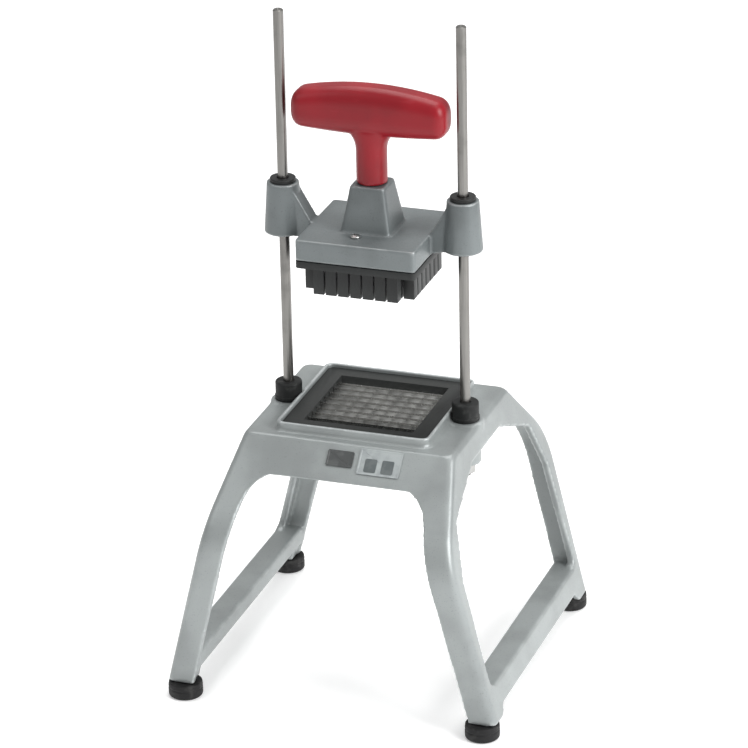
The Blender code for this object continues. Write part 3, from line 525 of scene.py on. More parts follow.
class Workpiece:
    """One piece on the bench, and the steps that shape it."""

    def __init__(self, thing: bpy.types.Object, name: str) -> None:
        """Takes the object in hand.

        Args:
            thing: The mesh object.
            name: The piece's name.
        """
        self.thing = thing
        thing.name = thing.data.name = name

    @classmethod
    def from_node(cls, node: str, name: str) -> "Workpiece":
        """A merged copy of a CAD node.

        Args:
            node: The CAD node.
            name: The new piece's name.

        Returns:
            The copy.
        """
        clear_selection()
        source = frame["nodes"][node]
        source.select_set(True)
        bpy.context.view_layer.objects.active = source
        bpy.ops.object.duplicate()
        made = bpy.context.active_object
        bpy.ops.object.parent_clear(type="CLEAR_KEEP_TRANSFORM")
        for key in list(made.keys()):
            del made[key]
        bpy.ops.mesh.customdata_custom_splitnormals_clear()
        bpy.ops.object.mode_set(mode="EDIT")
        bpy.ops.mesh.select_all(action="SELECT")
        bpy.ops.mesh.remove_doubles(threshold=MERGE)
        bpy.ops.mesh.dissolve_limited(angle_limit=math.radians(0.5))
        bpy.ops.object.mode_set(mode="OBJECT")
        return cls(made, name)

    @classmethod
    def turned(cls, name: str, outline: Outline, solid: bool, segments: int = 64) -> "Workpiece":
        """A piece turned on the lathe about Z.

        Args:
            name: The piece's name.
            outline: (radius, height) points, none of them on the axis.
            solid: Whether both ends are closed by a flat cap. Otherwise the outline is a closed
                section round a bore.
            segments: How many sides the round has.

        Returns:
            The turned piece.
        """
        stations = [((0, 0, height), radius, radius) for radius, height in outline]
        if not solid:
            stations.append(stations[0])
        clear_selection()
        fill = "NGON" if solid else "NOTHING"
        bpy.ops.mesh.primitive_circle_add(vertices=segments, radius=1, fill_type=fill)
        return cls(bpy.context.active_object, name).drawn(stations, "Z")

    @classmethod
    def block(cls, name: str, low: Point, high: Point) -> "Workpiece":
        """A block between two corners, to be worked on.

        Args:
            name: The piece's name.
            low: Its lowest corner.
            high: Its highest corner.

        Returns:
            The block.
        """
        clear_selection()
        middle = (Vector(low) + Vector(high)) / 2
        bpy.ops.mesh.primitive_cube_add(size=1, location=middle, scale=Vector(high) - Vector(low))
        made = cls(bpy.context.active_object, name)
        return made.settle()

    @classmethod
    def sheet(
        cls, name: str, width: float, height: float, corner: float, thickness: float
    ) -> "Workpiece":
        """A flat plate with round corners, lying on the XY plane at the origin.

        Args:
            name: The piece's name.
            width: Its size along X.
            height: Its size along Y.
            corner: The radius of its corners.
            thickness: How far it rises along Z.

        Returns:
            The plate.
        """
        clear_selection()
        bpy.ops.mesh.primitive_plane_add(size=1)
        made = cls(bpy.context.active_object, name)
        made.thing.scale = (width, height, 1)
        made.settle()
        bpy.ops.object.mode_set(mode="EDIT")
        bpy.ops.mesh.select_all(action="SELECT")
        bpy.ops.mesh.bevel(offset=corner, segments=6, affect="VERTICES")
        bpy.ops.mesh.select_all(action="SELECT")
        bpy.ops.mesh.extrude_region_move(TRANSFORM_OT_translate={"value": (0, 0, thickness)})
        return made.outward()

    def drawn(self, stations: Sequence[tuple[Point, float, float]], axis: str) -> "Workpiece":
        """Draws a flat face of unit size out through stations along an axis.

        Args:
            stations: The centre and the two half-sizes across the axis at each station.
            axis: "X" or "Z", the way it is drawn.

        Returns:
            The same piece.
        """
        self.activate()
        bpy.ops.object.mode_set(mode="EDIT")
        bpy.ops.mesh.select_mode(type="VERT")
        bpy.ops.mesh.select_all(action="SELECT")
        at, across, up = Vector((0, 0, 0)), 1.0, 1.0
        for number, (centre, next_across, next_up) in enumerate(stations):
            move = Vector(centre) - at
            if number:
                bpy.ops.mesh.extrude_region_move(TRANSFORM_OT_translate={"value": move})
            else:
                bpy.ops.transform.translate(value=move)
            first, second = next_across / across, next_up / up
            scale = (first, second, 1) if axis == "Z" else (1, first, second)
            bpy.ops.transform.resize(value=scale, center_override=centre)
            at, across, up = Vector(centre), next_across, next_up
        return self.outward()

    def outward(self) -> "Workpiece":
        """Merges what meets and turns every face outwards."""
        self.activate()
        bpy.ops.object.mode_set(mode="EDIT")
        bpy.ops.mesh.select_mode(type="VERT")
        bpy.ops.mesh.select_all(action="SELECT")
        bpy.ops.mesh.remove_doubles(threshold=MERGE)
        bpy.ops.mesh.normals_make_consistent(inside=False)
        bpy.ops.object.mode_set(mode="OBJECT")
        return self

    def activate(self) -> None:
        """Makes this the one selected object."""
        clear_selection()
        self.thing.select_set(True)
        bpy.context.view_layer.objects.active = self.thing

    def settle(self) -> "Workpiece":
        """Moves the object's place, turn and scale into its mesh."""
        self.activate()
        bpy.ops.object.transform_apply(location=True, rotation=True, scale=True)
        return self

    def placed(self, location: Point, turn: float = 0.0) -> "Workpiece":
        """Tips the piece about X at the origin, and then moves it.

        Args:
            location: Where its origin goes.
            turn: The angle about X, in radians.

        Returns:
            The same piece.
        """
        self.thing.rotation_euler = (turn, 0, 0)
        self.thing.location = location
        return self.settle()

    def copied(self, name: str, location: Point) -> "Workpiece":
        """A copy with its own mesh, moved.

        Args:
            name: The copy's name.
            location: How far it is moved.

        Returns:
            The copy.
        """
        self.activate()
        bpy.ops.object.duplicate()
        return Workpiece(bpy.context.active_object, name).placed(location)

    def pick(self, chosen: Callable[[Vector, Vector], bool]) -> None:
        """Selects faces in edit mode.

        Args:
            chosen: Says from a face's centre and normal whether it is taken.
        """
        self.activate()
        bpy.ops.object.mode_set(mode="EDIT")
        bpy.ops.mesh.select_mode(type="FACE")
        bpy.ops.mesh.select_all(action="DESELECT")
        bpy.ops.object.mode_set(mode="OBJECT")
        for face in self.thing.data.polygons:
            face.select = chosen(face.center, face.normal)
        bpy.ops.object.mode_set(mode="EDIT")

    def modified(self, kind: str, **settings: object) -> "Workpiece":
        """Adds one modifier and applies it.

        Args:
            kind: The modifier's type.
            **settings: Its settings.

        Returns:
            The same piece.
        """
        self.activate()
        modifier = self.thing.modifiers.new(kind.lower(), kind)
        for name, value in settings.items():
            setattr(modifier, name, value)
        bpy.ops.object.modifier_apply(modifier=modifier.name)
        return self

    def cut(self, tool: "Workpiece", operation: str = "DIFFERENCE") -> "Workpiece":
        """Cuts with another piece, which is used up.

        Args:
            tool: The cutting piece.
            operation: The Boolean's operation.

        Returns:
            The same piece.
        """
        self.modified("BOOLEAN", operation=operation, solver="EXACT", object=tool.thing)
        bpy.data.objects.remove(tool.thing)
        return self

    def joined(self, other: "Workpiece") -> "Workpiece":
        """Takes another piece into this one's mesh.

        Args:
            other: The piece that is taken in.

        Returns:
            The same piece.
        """
        self.activate()
        other.thing.select_set(True)
        bpy.ops.object.join()
        return self

    def cast(self, voxel: float, passes: int) -> "Workpiece":
        """Makes one skin of the piece, with the soft edges of a casting or a moulding.

        Args:
            voxel: The skin's resolution.
            passes: How often it is smoothed.

        Returns:
            The same piece.
        """
        self.modified("REMESH", mode="VOXEL", voxel_size=voxel, use_smooth_shade=True)
        return self.modified("SMOOTH", factor=0.5, iterations=passes)

    def edged(self, width: float, angle: float = 35.0) -> "Workpiece":
        """Rounds the sharp edges and shades the rest smooth.

        Args:
            width: The width of the rounding.
            angle: The least angle of a sharp edge, in degrees.

        Returns:
            The same piece.
        """
        limit = math.radians(angle)
        self.modified("BEVEL", width=width, segments=2, limit_method="ANGLE", angle_limit=limit)
        return self.shaded(angle)

    def shaded(self, angle: float = 35.0) -> "Workpiece":
        """Shades the piece smooth except at its sharp edges.

        Args:
            angle: The least angle of a sharp edge, in degrees.

        Returns:
            The same piece.
        """
        self.activate()
        bpy.ops.object.shade_smooth_by_angle(angle=math.radians(angle))
        return self

    def fitted(self, body: Body, slot: Slot, finish: bpy.types.Material, *nodes: str) -> None:
        """Dresses the finished piece and lets it ride on its body.

        Args:
            body: The body that it moves with.
            slot: The record's slot that its finish belongs to. Not used.
            finish: Its material.
            *nodes: The CAD nodes that it stands for.
        """
        self.thing.data.materials.clear()
        self.thing.data.materials.append(finish)
        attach(self.thing, body.value)
        if nodes:
            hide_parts(*nodes)
        faces = len(self.thing.data.polygons)
        log.info("%s rides on %s, %d faces", self.thing.name, body.value, faces)


def centre_of(node: str) -> tuple[float, float]:
    """The middle of a CAD node, seen from above.

    Args:
        node: The CAD node.

    Returns:
        Its X and Y.
    """
    low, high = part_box(node)
    return (low.x + high.x) / 2, (low.y + high.y) / 2


# The stand ---------------------------------------------------------------------------------------


@dataclass
class Stand:
    """The painted casting on its rubber feet."""

    voxel: float = 1.5 * MM
    smoothing: int = 3
    foot_edge: float = 2.4 * MM
    foot_rim: float = 0.9 * MM
    foot_draft: float = 0.4 * MM
    foot_bore: float = 2.8 * MM
    foot_recess: float = 5.1 * MM
    foot_shelf: float = 5.0 * MM
    groove: float = 0.5 * MM
    groove_half: float = 1.2 * MM
    groove_place: float = 0.62  # share of the foot's height
    screw_head: float = 4.8 * MM
    screw_shank: float = 2.5 * MM
    screw_height: float = 3.0 * MM
    screw_reach: float = 14.3 * MM
    paint: CastPaint = CastPaint(
        name="silver paint",
        colour=(0.282, 0.303, 0.302),
        edge=(0.50, 0.53, 0.53),
        # dark speck colour, also painted as shade into the casting's hollows
        speck_and_painted_shade=(0.11, 0.12, 0.116),
        metallic=0.35,
        roughness=0.38,
        mottle=0.13,
    )
    rubber: BlackRubber = BlackRubber("foot rubber", (0.011, 0.011, 0.0115), (0.060, 0.059, 0.057))
    zinc: BrightSteel = BrightSteel("foot screw zinc", (0.36, 0.36, 0.34), 0.36, (1, 1, 1))

    def build(self) -> None:
        """Models and dresses the casting, its feet and their screws."""
        casting = Workpiece.from_node("cast_frame", "stand_casting")
        casting.cast(self.voxel, self.smoothing)
        casting.fitted(Body.STAND, Slot.FRAME_PAINT, self.paint.material(), "cast_frame")
        rubber, zinc = self.rubber.material(), self.zinc.material()
        corners = [f"{end}_{side.value}" for end in ("front", "rear") for side in Side]
        foot = self.foot()
        head, shank = self.screw_head, self.screw_shank
        screw = Fixings.screw("foot_screw", head, shank, self.screw_height, self.screw_reach)
        for corner in corners:
            low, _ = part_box(f"foot_screw_{corner}")
            middle = (*centre_of(f"foot_{corner}"), 0)
            foot.copied(f"rubber_foot_{corner}", middle).fitted(
                Body.STAND, Slot.RUBBER, rubber, f"foot_{corner}"
            )
            seat = (middle[0], middle[1], low.z + self.screw_height)
            fixed = screw.copied(f"recessed_screw_{corner}", (0, 0, 0))
            fixed.thing.rotation_euler = (math.pi, 0, 0)
            fixed.thing.location = seat
            fixed.settle().fitted(Body.STAND, Slot.FIXING_STEEL, zinc, f"foot_screw_{corner}")
        for pattern in (foot, screw):
            bpy.data.objects.remove(pattern.thing)

    def foot(self) -> Workpiece:
        """A rubber foot with a round edge, a grip groove and a recess for its screw."""
        low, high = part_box("foot_front_left")
        outer, top = (high.x - low.x) / 2, high.z
        middle = top * self.groove_place
        outline = softened(
            [
                (self.foot_bore, self.foot_shelf, 0),
                (self.foot_recess, self.foot_shelf, 0),
                (self.foot_recess, 0, 0.5 * MM),
                (outer, 0, self.foot_edge),
                (outer, middle - self.groove_half, 0.3 * MM),
                (outer - self.groove, middle, 0.4 * MM),
                (outer, middle + self.groove_half, 0.3 * MM),
                (outer - self.foot_draft, top, self.foot_rim),
                (self.foot_bore, top, 0),
            ]
        )
        return Workpiece.turned("foot_pattern", outline, solid=False).shaded()


@dataclass
class Fixings:
    """The screws, washers and nuts of the dicer."""

    nut_flats: float = 13.0 * MM
    washer_play: float = 0.1 * MM
    washer_edge: float = 0.3 * MM
    block_screw_head: float = 2.4 * MM
    block_screw_shank: float = 2.0 * MM
    steel: BrightSteel = BrightSteel("fixing steel", (0.40, 0.40, 0.39), 0.32, (1, 1, 1))

    @staticmethod
    def screw(name: str, head: float, shank: float, height: float, reach: float) -> Workpiece:
        """A pan-head screw with a cross recess, head up, its seat at the origin.

        Args:
            name: The piece's name.
            head: The radius of its head.
            shank: The radius of its shank.
            height: The height of its head.
            reach: How far the shank goes below the seat.

        Returns:
            The screw.
        """
        outline = softened(
            [
                (shank * 0.7, -reach, 0),
                (shank, -reach + 1.0 * MM, 0.3 * MM),
                (shank, 0, 0),
                (head, 0, 0.2 * MM),
                (head, height * 0.55, height * 0.45),
                (head * 0.25, height, 0),
            ]
        )
        made = Workpiece.turned(name, outline, solid=True, segments=40)
        half, wide = head * 0.56, head * 0.13
        floor = height * 0.4
        for x, y in ((half, wide), (wide, half)):
            slot = Workpiece.block("recess_tool", (-x, -y, floor), (x, y, height + 1 * MM))
            slot.pick(lambda centre, normal: normal.z < -0.5)
            bpy.ops.transform.resize(value=(0.6, 0.6, 1), center_override=(0, 0, floor))
            bpy.ops.object.mode_set(mode="OBJECT")
            made.cut(slot)
        return made.shaded(30)

    @staticmethod
    def nut(name: str, low: float, height: float, flats: float, bore: float) -> Workpiece:
        """A hexagon nut with chamfered corners.

        Args:
            name: The piece's name.
            low: The height of its underside.
            height: How high it is.
            flats: The size across its flats.
            bore: The radius of its hole.

        Returns:
            The nut.
        """
        corner = flats / math.sqrt(3)
        slope = (corner - flats / 2) * 0.62
        clear_selection()
        top = low + height
        bpy.ops.mesh.primitive_cylinder_add(
            vertices=6,
            radius=corner,
            depth=height,
            location=(0, 0, low + height / 2),
            rotation=(0, 0, math.pi / 6),
        )
        made = Workpiece(bpy.context.active_object, name).settle()
        wide = corner + 0.05 * MM
        envelope = [
            (flats / 2, low - MERGE),
            (wide, low + slope),
            (wide, top - slope),
            (flats / 2, top + MERGE),
        ]
        made.cut(Workpiece.turned("chamfer_tool", envelope, solid=True), "INTERSECT")
        mouth, past, shaded_hollows = bore + 0.8 * MM, 0.2 * MM, 0.6 * MM
        hole = [(mouth, low - past), (bore, low + shaded_hollows), (bore, top - shaded_hollows), (mouth, top + past)]
        made.cut(Workpiece.turned("bore_tool", hole, solid=True, segments=40))
        return made.shaded(25)

    def build(self) -> None:
        """Models and dresses the nuts and washers under the bosses and the two block screws."""
        steel = self.steel.material()
        low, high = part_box("rod_nut_left")
        nut = self.nut("nut_pattern", low.z, high.z - low.z, self.nut_flats, ROD_HOLE)
        low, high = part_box("rod_washer_left")
        radius, hole = (high.x - low.x) / 2, ROD_HOLE + self.washer_play
        outline = softened(
            [
                (hole, low.z, 0),
                (radius, low.z, self.washer_edge),
                (radius, high.z, self.washer_edge),
                (hole, high.z, 0),
            ]
        )
        washer = Workpiece.turned("washer_pattern", outline, solid=False).shaded()
        for side in Side:
            x, y = centre_of(f"guide_rod_{side.value}")
            nut.copied(f"boss_nut_{side.value}", (x, y, 0)).fitted(
                Body.STAND, Slot.FIXING_STEEL, steel, f"rod_nut_{side.value}"
            )
            washer.copied(f"boss_washer_{side.value}", (x, y, 0)).fitted(
                Body.STAND, Slot.FIXING_STEEL, steel, f"rod_washer_{side.value}"
            )
        for end in ("front", "rear"):
            node = f"block_screw_{end}"
            low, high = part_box(node)
            x, y = centre_of(node)
            radius, seat = (high.x - low.x) / 2, high.z - self.block_screw_head
            screw = self.screw(
                f"cross_screw_{end}",
                radius,
                self.block_screw_shank,
                self.block_screw_head,
                seat - low.z,
            )
            screw.placed((x, y, seat)).fitted(Body.PUSHER, Slot.FIXING_STEEL, steel, node)
        for pattern in (nut, washer):
            bpy.data.objects.remove(pattern.thing)
        for node in ("handle_stud", "handle_washer", "handle_nut"):
            redress(node, steel)


@dataclass
class GuideRods:
    """The two upright rods with a rubber bumper round the foot of each."""

    chamfer: float = 0.8 * MM
    dimple: float = 1.3 * MM
    thread_pitch: float = 0.8 * MM
    thread_depth: float = 0.35 * MM
    thread_turns: int = 6
    collar_height: float = 3.2 * MM
    collar_step: float = 0.45 * MM
    steel: BrightSteel = BrightSteel("drawn rod steel", (0.205, 0.20, 0.19), 0.33, (1, 1, 0.012))
    rubber: BlackRubber = BlackRubber("bumper rubber", (0.010, 0.011, 0.011), (0.07, 0.072, 0.07))

    def build(self) -> None:
        """Models and dresses both rods and both bumpers."""
        steel, rubber = self.steel.material(), self.rubber.material()
        for side in Side:
            for node, name, shape, slot, finish in (
                ("guide_rod", "drawn_rod", self.rod, Slot.ROD_STEEL, steel),
                ("rod_bumper", "soft_bumper", self.bumper, Slot.RUBBER, rubber),
            ):
                node = f"{node}_{side.value}"
                low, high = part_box(node)
                made = shape(f"{name}_{side.value}", (high.x - low.x) / 2, low.z, high.z)
                made.placed((*centre_of(node), 0)).fitted(Body.STAND, slot, finish, node)

    def rod(self, name: str, radius: float, low: float, high: float) -> Workpiece:
        """A drawn rod: thread at its foot, a chamfer and a centre dimple at its top.

        Args:
            name: The piece's name.
            radius: The rod's radius.
            low: The height of its foot.
            high: The height of its top.

        Returns:
            The rod.
        """
        outline = [(radius - self.chamfer, low)]
        root = radius - self.thread_depth
        for turn in range(self.thread_turns):
            start = low + 0.3 * MM + turn * self.thread_pitch
            outline += [(root, start), (radius, start + self.thread_pitch / 2)]
        outline += [
            (root, start + self.thread_pitch),
            (radius, start + 1.6 * self.thread_pitch),
            (radius, high - self.chamfer),
            (radius - self.chamfer, high),
            (self.dimple, high),
            (self.dimple * 0.2, high - self.dimple * 0.8),
        ]
        return Workpiece.turned(name, outline, solid=True, segments=48).shaded(28)

    def bumper(self, name: str, radius: float, low: float, high: float) -> Workpiece:
        """A rubber bumper with round edges and a shallow collar at its foot.

        Args:
            name: The piece's name.
            radius: The bumper's radius.
            low: The height of its underside.
            high: The height of its top.

        Returns:
            The bumper.
        """
        collar = low + self.collar_height
        waist = radius - self.collar_step
        outline = softened(
            [
                (ROD_HOLE, low, 0),
                (radius, low, 0.5 * MM),
                (radius, collar, 0.4 * MM),
                (waist, collar + 0.5 * MM, 0.3 * MM),
                (waist, high, 1.5 * MM),
                (ROD_HOLE, high, 0.4 * MM),
                (ROD_HOLE, low + 2 * MM, 0),
            ]
        )
        return Workpiece.turned(name, outline, solid=False).shaded()


@dataclass
class BladeCartridge:
    """The drop-in frame with its two crossed sets of ground blades."""

    thickness: float = 0.8 * MM
    ground: float = 1.7 * MM
    edge: float = 0.12 * MM
    frame_edge: float = 0.6 * MM
    plastic: Moulded = Moulded(
        "cartridge plastic", (0.010, 0.0115, 0.011), (0.055, 0.058, 0.056), 0.55
    )

    def build(self) -> None:
        """Models and dresses the cartridge's frame and its blades."""
        shell = Workpiece.from_node("blade_cartridge", "cartridge_frame").edged(self.frame_edge)
        shell.fitted(Body.STAND, Slot.BLACK_PLASTIC, self.plastic.material(), "blade_cartridge")
        for level in ("upper", "lower"):
            _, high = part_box(f"blade_{level}_1")
            steel = GroundBlade(
                f"{level} blade steel", (0.30, 0.30, 0.29), (0.62, 0.62, 0.60), high.z - self.ground
            ).material()
            for number in range(1, 9):
                node = f"blade_{level}_{number}"
                self.knife(f"ground_knife_{level}_{number}", node).fitted(
                    Body.STAND, Slot.BLADE_STEEL, steel, node
                )

    def knife(self, name: str, node: str) -> Workpiece:
        """One blade: a strip whose top is ground to an edge from both sides.

        Args:
            name: The piece's name.
            node: The CAD blade that gives its place.

        Returns:
            The blade.
        """
        low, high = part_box(node)
        shoulder = high.z - self.ground
        made = Workpiece.block(name, low, (high.x, high.y, shoulder))
        along_x = high.x - low.x > high.y - low.y
        share = self.edge / self.thickness
        middle = (low + high) / 2
        made.pick(lambda centre, normal: normal.z > 0.5)
        rise = (0, 0, high.z - shoulder)
        bpy.ops.mesh.extrude_region_move(TRANSFORM_OT_translate={"value": rise})
        narrow = (1, share, 1) if along_x else (share, 1, 1)
        bpy.ops.transform.resize(value=narrow, center_override=(middle.x, middle.y, high.z))
        bpy.ops.object.mode_set(mode="OBJECT")
        return made.shaded(5)


@dataclass
class FrontPlates:
    """Two blank plates on the sloping front: a dark one, and a light one with two dark windows."""

    slope: float = math.radians(45)
    thickness: float = 0.8 * MM
    corner: float = 1.2 * MM
    border: float = 1.1 * MM
    sink: float = 0.2 * MM
    window: tuple[float, float] = (9.5 * MM, 11.0 * MM)
    window_gap: float = 4.2 * MM
    window_drop: float = 3.0 * MM
    window_lift: float = 0.62 * MM
    window_thickness: float = 0.25 * MM
    dark: PrintedSheet = PrintedSheet("dark plate", (0.060, 0.064, 0.064), (0.085, 0.09, 0.09))
    light: PrintedSheet = PrintedSheet("light plate", (0.36, 0.39, 0.39), (0.30, 0.325, 0.33))
    ink: PrintedSheet = PrintedSheet("plate window", (0.095, 0.110, 0.112), (0.12, 0.135, 0.137))

    def build(self) -> None:
        """Models and dresses both plates and the two windows."""
        dark, light, ink = (sheet.material() for sheet in (self.dark, self.light, self.ink))
        for side, finish in ((Side.LEFT, dark), (Side.RIGHT, light)):
            node = f"label_plate_{side.value}"
            seat, width, height = self.seat(node)
            plate = self.plate(f"blank_plate_{side.value}", width, height)
            plate.placed(seat, self.slope).fitted(Body.STAND, Slot.LABEL, finish, node)
        for place, share in (("left", -0.5), ("right", 0.5)):
            name = f"plate_window_{place}"
            made = Workpiece.sheet(name, *self.window, self.corner, self.window_thickness)
            across = share * (self.window[0] + self.window_gap)
            made.placed((across, -self.window_drop, self.window_lift))
            made.placed(seat, self.slope).shaded().fitted(Body.STAND, Slot.LABEL, ink)

    def seat(self, node: str) -> tuple[Vector, float, float]:
        """Where a plate lies, and its size.

        Args:
            node: The CAD plate.

        Returns:
            The middle of its underside, its width and its height.
        """
        low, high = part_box(node)
        lean = self.thickness * math.sin(self.slope)
        height = (high.z - low.z - lean) / math.sin(self.slope)
        outward = Vector((0, -math.sin(self.slope), math.cos(self.slope)))
        seat = (low + high) / 2 - outward * (self.thickness / 2)
        return seat, high.x - low.x, height

    def plate(self, name: str, width: float, height: float) -> Workpiece:
        """A plate with round corners and a raised border.

        Args:
            name: The piece's name.
            width: Its width.
            height: Its height.

        Returns:
            The plate, flat at the origin.
        """
        made = Workpiece.sheet(name, width, height, self.corner, self.thickness)
        made.pick(lambda centre, normal: normal.z > 0.5)
        bpy.ops.mesh.inset(thickness=self.border, depth=0)
        bpy.ops.mesh.inset(thickness=self.sink, depth=-self.sink)
        bpy.ops.object.mode_set(mode="OBJECT")
        return made.shaded(30)


# The pusher --------------------------------------------------------------------------------------


@dataclass
class PusherHead:
    """The sliding casting, its bushes and the block of square fingers."""

    voxel: float = 1.1 * MM
    smoothing: int = 3
    finger_edge: float = 0.45 * MM
    bush_bore: float = 4.4 * MM
    bush_tube: float = 6.4 * MM
    bush_flange: float = 3.0 * MM
    paint: CastPaint = CastPaint(
        name="grey casting",
        colour=(0.150, 0.167, 0.170),
        edge=(0.34, 0.36, 0.36),
        # dark speck colour, also painted as shade into the casting's hollows
        speck_and_painted_shade=(0.045, 0.05, 0.052),
        metallic=0.35,
        roughness=0.40,
        mottle=0.16,
    )
    block: Moulded = Moulded("block plastic", (0.009, 0.010, 0.010), (0.05, 0.054, 0.054), 0.52)
    bush: Moulded = Moulded("bush plastic", (0.014, 0.015, 0.015), (0.07, 0.07, 0.07), 0.5)

    def build(self) -> None:
        """Models and dresses the casting, the four bushes and the finger block."""
        casting = Workpiece.from_node("pusher_head", "head_casting")
        casting.cast(self.voxel, self.smoothing)
        casting.fitted(Body.PUSHER, Slot.HEAD_CASTING, self.paint.material(), "pusher_head")
        fingers = Workpiece.from_node("pusher_block", "finger_block").edged(self.finger_edge)
        fingers.fitted(Body.PUSHER, Slot.BLACK_PLASTIC, self.block.material(), "pusher_block")
        plastic = self.bush.material()
        for side in Side:
            for level, upright in (("upper", 1), ("lower", -1)):
                node = f"{level}_bush_{side.value}"
                self.flanged(f"flanged_bush_{level}_{side.value}", node, upright).fitted(
                    Body.PUSHER, Slot.BLACK_PLASTIC, plastic, node
                )

    def flanged(self, name: str, node: str, upright: int) -> Workpiece:
        """A bush with a round-edged flange and a bevelled mouth.

        Args:
            name: The piece's name.
            node: The CAD bush that gives its place.
            upright: 1 with its flange on top, -1 with it below.

        Returns:
            The bush.
        """
        low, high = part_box(node)
        flange, tube, bore = (high.x - low.x) / 2, self.bush_tube, self.bush_bore
        face, tip = (high.z, low.z) if upright > 0 else (low.z, high.z)
        seat = face - upright * self.bush_flange
        outline = softened(
            [
                (bore, tip, 0),
                (tube, tip, 0.4 * MM),
                (tube, seat, 0),
                (flange, seat, 0.3 * MM),
                (flange, face, 0.8 * MM),
                (bore, face, 0.7 * MM),
                (bore, seat, 0),
            ]
        )
        x, y = centre_of(node)
        return Workpiece.turned(name, outline, solid=False).placed((x, y, 0)).shaded()


@dataclass
class THandle:
    """The moulded grip: a crowned bar that runs down into its stem."""

    crown: float = 8.0 * MM
    belly: float = 3.0 * MM
    end_height: float = 28.0 * MM
    section_corner: float = 0.36
    end_round: float = 8.5 * MM
    stem: float = 12.0 * MM
    flare: float = 9.0 * MM
    flare_height: float = 13 * MM
    flare_curve: float = 2.4
    flare_overlap: float = 4 * MM  # how far it runs into the bar
    socket_radius: float = 4.3 * MM
    socket_depth: float = 24 * MM
    voxel: float = 0.9 * MM
    smoothing: int = 8
    red: Moulded = Moulded("red plastic", (0.262, 0.0055, 0.0125), (0.35, 0.035, 0.045), 0.36, True)

    def build(self) -> None:
        """Models and dresses the handle."""
        low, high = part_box("t_handle")
        handle = self.bar(high).joined(self.neck(low, high)).cast(self.voxel, self.smoothing)
        socket = [(self.socket_radius, low.z + reach) for reach in (-1 * MM, self.socket_depth)]
        handle.cut(Workpiece.turned("socket_tool", socket, solid=True, segments=32)).shaded(40)
        handle.fitted(Body.PUSHER, Slot.RED_PLASTIC, self.red.material(), "t_handle")

    def bar(self, high: Vector) -> Workpiece:
        """The bar across the top.

        Args:
            high: The handle's highest corner.

        Returns:
            The bar.
        """
        half, depth = high.x, high.y
        middle = high.z - self.crown - self.end_height / 2
        steps, cap = 14, 6
        inner = half - self.end_round
        ends = [half - self.end_round * (1 - math.cos(math.pi / 2 * i / cap)) for i in range(cap)]
        straight = [inner * (2 * i / steps - 1) for i in range(steps + 1)]
        places = [-x for x in ends] + straight + ends[::-1]
        stations = []
        for x in places:
            share = 1 - (x / half) ** 2
            beyond = max(0.0, abs(x) - inner)
            inset = self.end_round - math.sqrt(max(0.0, self.end_round**2 - beyond**2))
            top = middle + self.end_height / 2 + self.crown * share - inset
            bottom = middle - self.end_height / 2 - self.belly * share + inset
            stations.append(((x, 0, (top + bottom) / 2), 2 * (depth - inset), top - bottom))
        clear_selection()
        bpy.ops.mesh.primitive_plane_add(size=1, rotation=(0, math.pi / 2, 0))
        made = Workpiece(bpy.context.active_object, "grip_handle").settle()
        bpy.ops.object.mode_set(mode="EDIT")
        bpy.ops.mesh.select_all(action="SELECT")
        bpy.ops.mesh.bevel(offset=self.section_corner, segments=8, affect="VERTICES")
        bpy.ops.object.mode_set(mode="OBJECT")
        return made.drawn(stations, "X")

    def neck(self, low: Vector, high: Vector) -> Workpiece:
        """The stem, wider where it meets the bar.

        Args:
            low: The handle's lowest corner.
            high: Its highest corner.

        Returns:
            The stem.
        """
        start = high.z - self.crown - self.end_height - self.belly - self.flare_height
        rise = self.flare_height + self.flare_overlap
        stations = [((0, 0, z), self.stem, self.stem) for z in (low.z, start)]
        steps = 5
        for step in range(1, steps + 1):
            share = step / steps
            across = self.stem + self.flare * share**self.flare_curve
            stations.append(((0, 0, start + rise * share), across, self.stem))
        clear_selection()
        bpy.ops.mesh.primitive_circle_add(vertices=48, radius=1, fill_type="NGON")
        return Workpiece(bpy.context.active_object, "handle_neck").drawn(stations, "Z")


def redress(node: str, finish: bpy.types.Material) -> None:
    """Gives a CAD node that stays in view another finish.

    Args:
        node: The CAD node.
        finish: Its material.
    """
    thing = frame["nodes"][node]
    for slot in thing.material_slots:
        slot.material = finish
    log.info("%s keeps its shape", node)


# The studio --------------------------------------------------------------------------------------


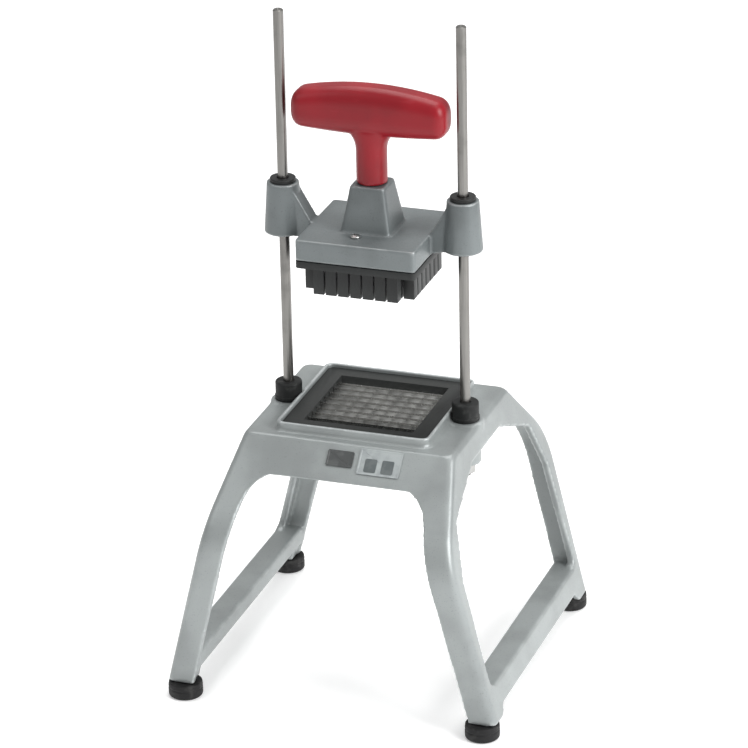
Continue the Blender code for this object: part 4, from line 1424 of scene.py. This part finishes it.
@dataclass
class Studio:
    """A pale floor, soft light from above and a long lens."""

    azimuth: float = math.radians(19.38)
    elevation: float = math.radians(23.46)
    roll: float = math.radians(-1.18)
    distance: float = 3.49957
    aim: tuple[float, float] = (-6.11 * MM, 218.63 * MM)
    lens: float = 211.405
    floor_colour: Colour = (0.93, 0.93, 0.93)
    floor_glow: float = 0.25
    sky: Colour = (1.0, 1.0, 1.0)
    sky_strength: float = 0.46
    softboxes: list[tuple[str, Point, float, float]] = field(
        default_factory=lambda: [
            ("key softbox", (2.1, -0.5, 1.4), 1.3, 50.0),
            ("fill softbox", (-1.7, -1.5, 2.0), 1.4, 8.0),
            ("top softbox", (0.0, 0.5, 2.3), 1.9, 42.0),
        ]
    )

    def build(self) -> None:
        """Sets up the floor, the light and the camera."""
        self.floor()
        self.light()
        self.camera()

    def floor(self) -> None:
        """A wide matt floor under the feet."""
        clear_selection()
        bpy.ops.mesh.primitive_plane_add(size=40)
        floor = bpy.context.active_object
        floor.name = "studio_floor"
        shader = Shader("studio floor")
        shade = tuple(part * 0.985 for part in self.floor_colour)
        base = shader.blend(shader.noise(6, 2), shade, self.floor_colour)
        glow = {"Emission_Color": (*self.floor_colour, 1), "Emission_Strength": self.floor_glow}
        floor.data.materials.append(shader.made(Base_Color=base, Roughness=0.9, **glow))

    def light(self) -> None:
        """An even sky and three softboxes that look at the dicer."""
        world = bpy.data.worlds.new("studio sky")
        bpy.context.scene.world = world
        world.use_nodes = True
        background = world.node_tree.nodes["Background"]
        background.inputs["Color"].default_value = (*self.sky, 1)
        background.inputs["Strength"].default_value = self.sky_strength
        for name, place, size, power in self.softboxes:
            clear_selection()
            bpy.ops.object.light_add(type="AREA", location=place)
            lamp = bpy.context.active_object
            lamp.name = name
            lamp.data.energy = power
            lamp.data.size = size
            away = Vector(place) - Vector((0, 0, 0.25))
            lamp.rotation_euler = away.to_track_quat("Z", "Y").to_euler()

    def camera(self) -> None:
        """The camera: high in front, a little to the right."""
        flat = Vector((math.sin(self.azimuth), -math.cos(self.azimuth), 0))
        back = flat * math.cos(self.elevation) + Vector((0, 0, math.sin(self.elevation)))
        right = Vector((math.cos(self.azimuth), math.sin(self.azimuth), 0))
        up = back.cross(right)
        across = right * math.cos(self.roll) + up * math.sin(self.roll)
        upward = up * math.cos(self.roll) - right * math.sin(self.roll)
        place = across * self.aim[0] + upward * self.aim[1] + back * self.distance
        clear_selection()
        bpy.ops.object.camera_add(location=place)
        camera = bpy.context.active_object
        turned = Matrix((across, upward, back)).transposed()
        camera.matrix_world = Matrix.Translation(place) @ turned.to_4x4()
        camera.data.lens = self.lens
        camera.data.clip_end = 50
        bpy.context.scene.camera = camera


def main() -> None:
    """Builds each sub-assembly in order, and then the studio."""
    logging.basicConfig(level=logging.INFO, format="%(name)s: %(message)s")
    stand = (Stand(), GuideRods(), Fixings(), BladeCartridge(), FrontPlates())
    for part in (*stand, PusherHead(), THandle(), Studio()):
        log.info("building %s", type(part).__name__)
        part.build()
    bpy.context.scene.view_settings.view_transform = "Standard"


if __name__ == "__main__":
    main()
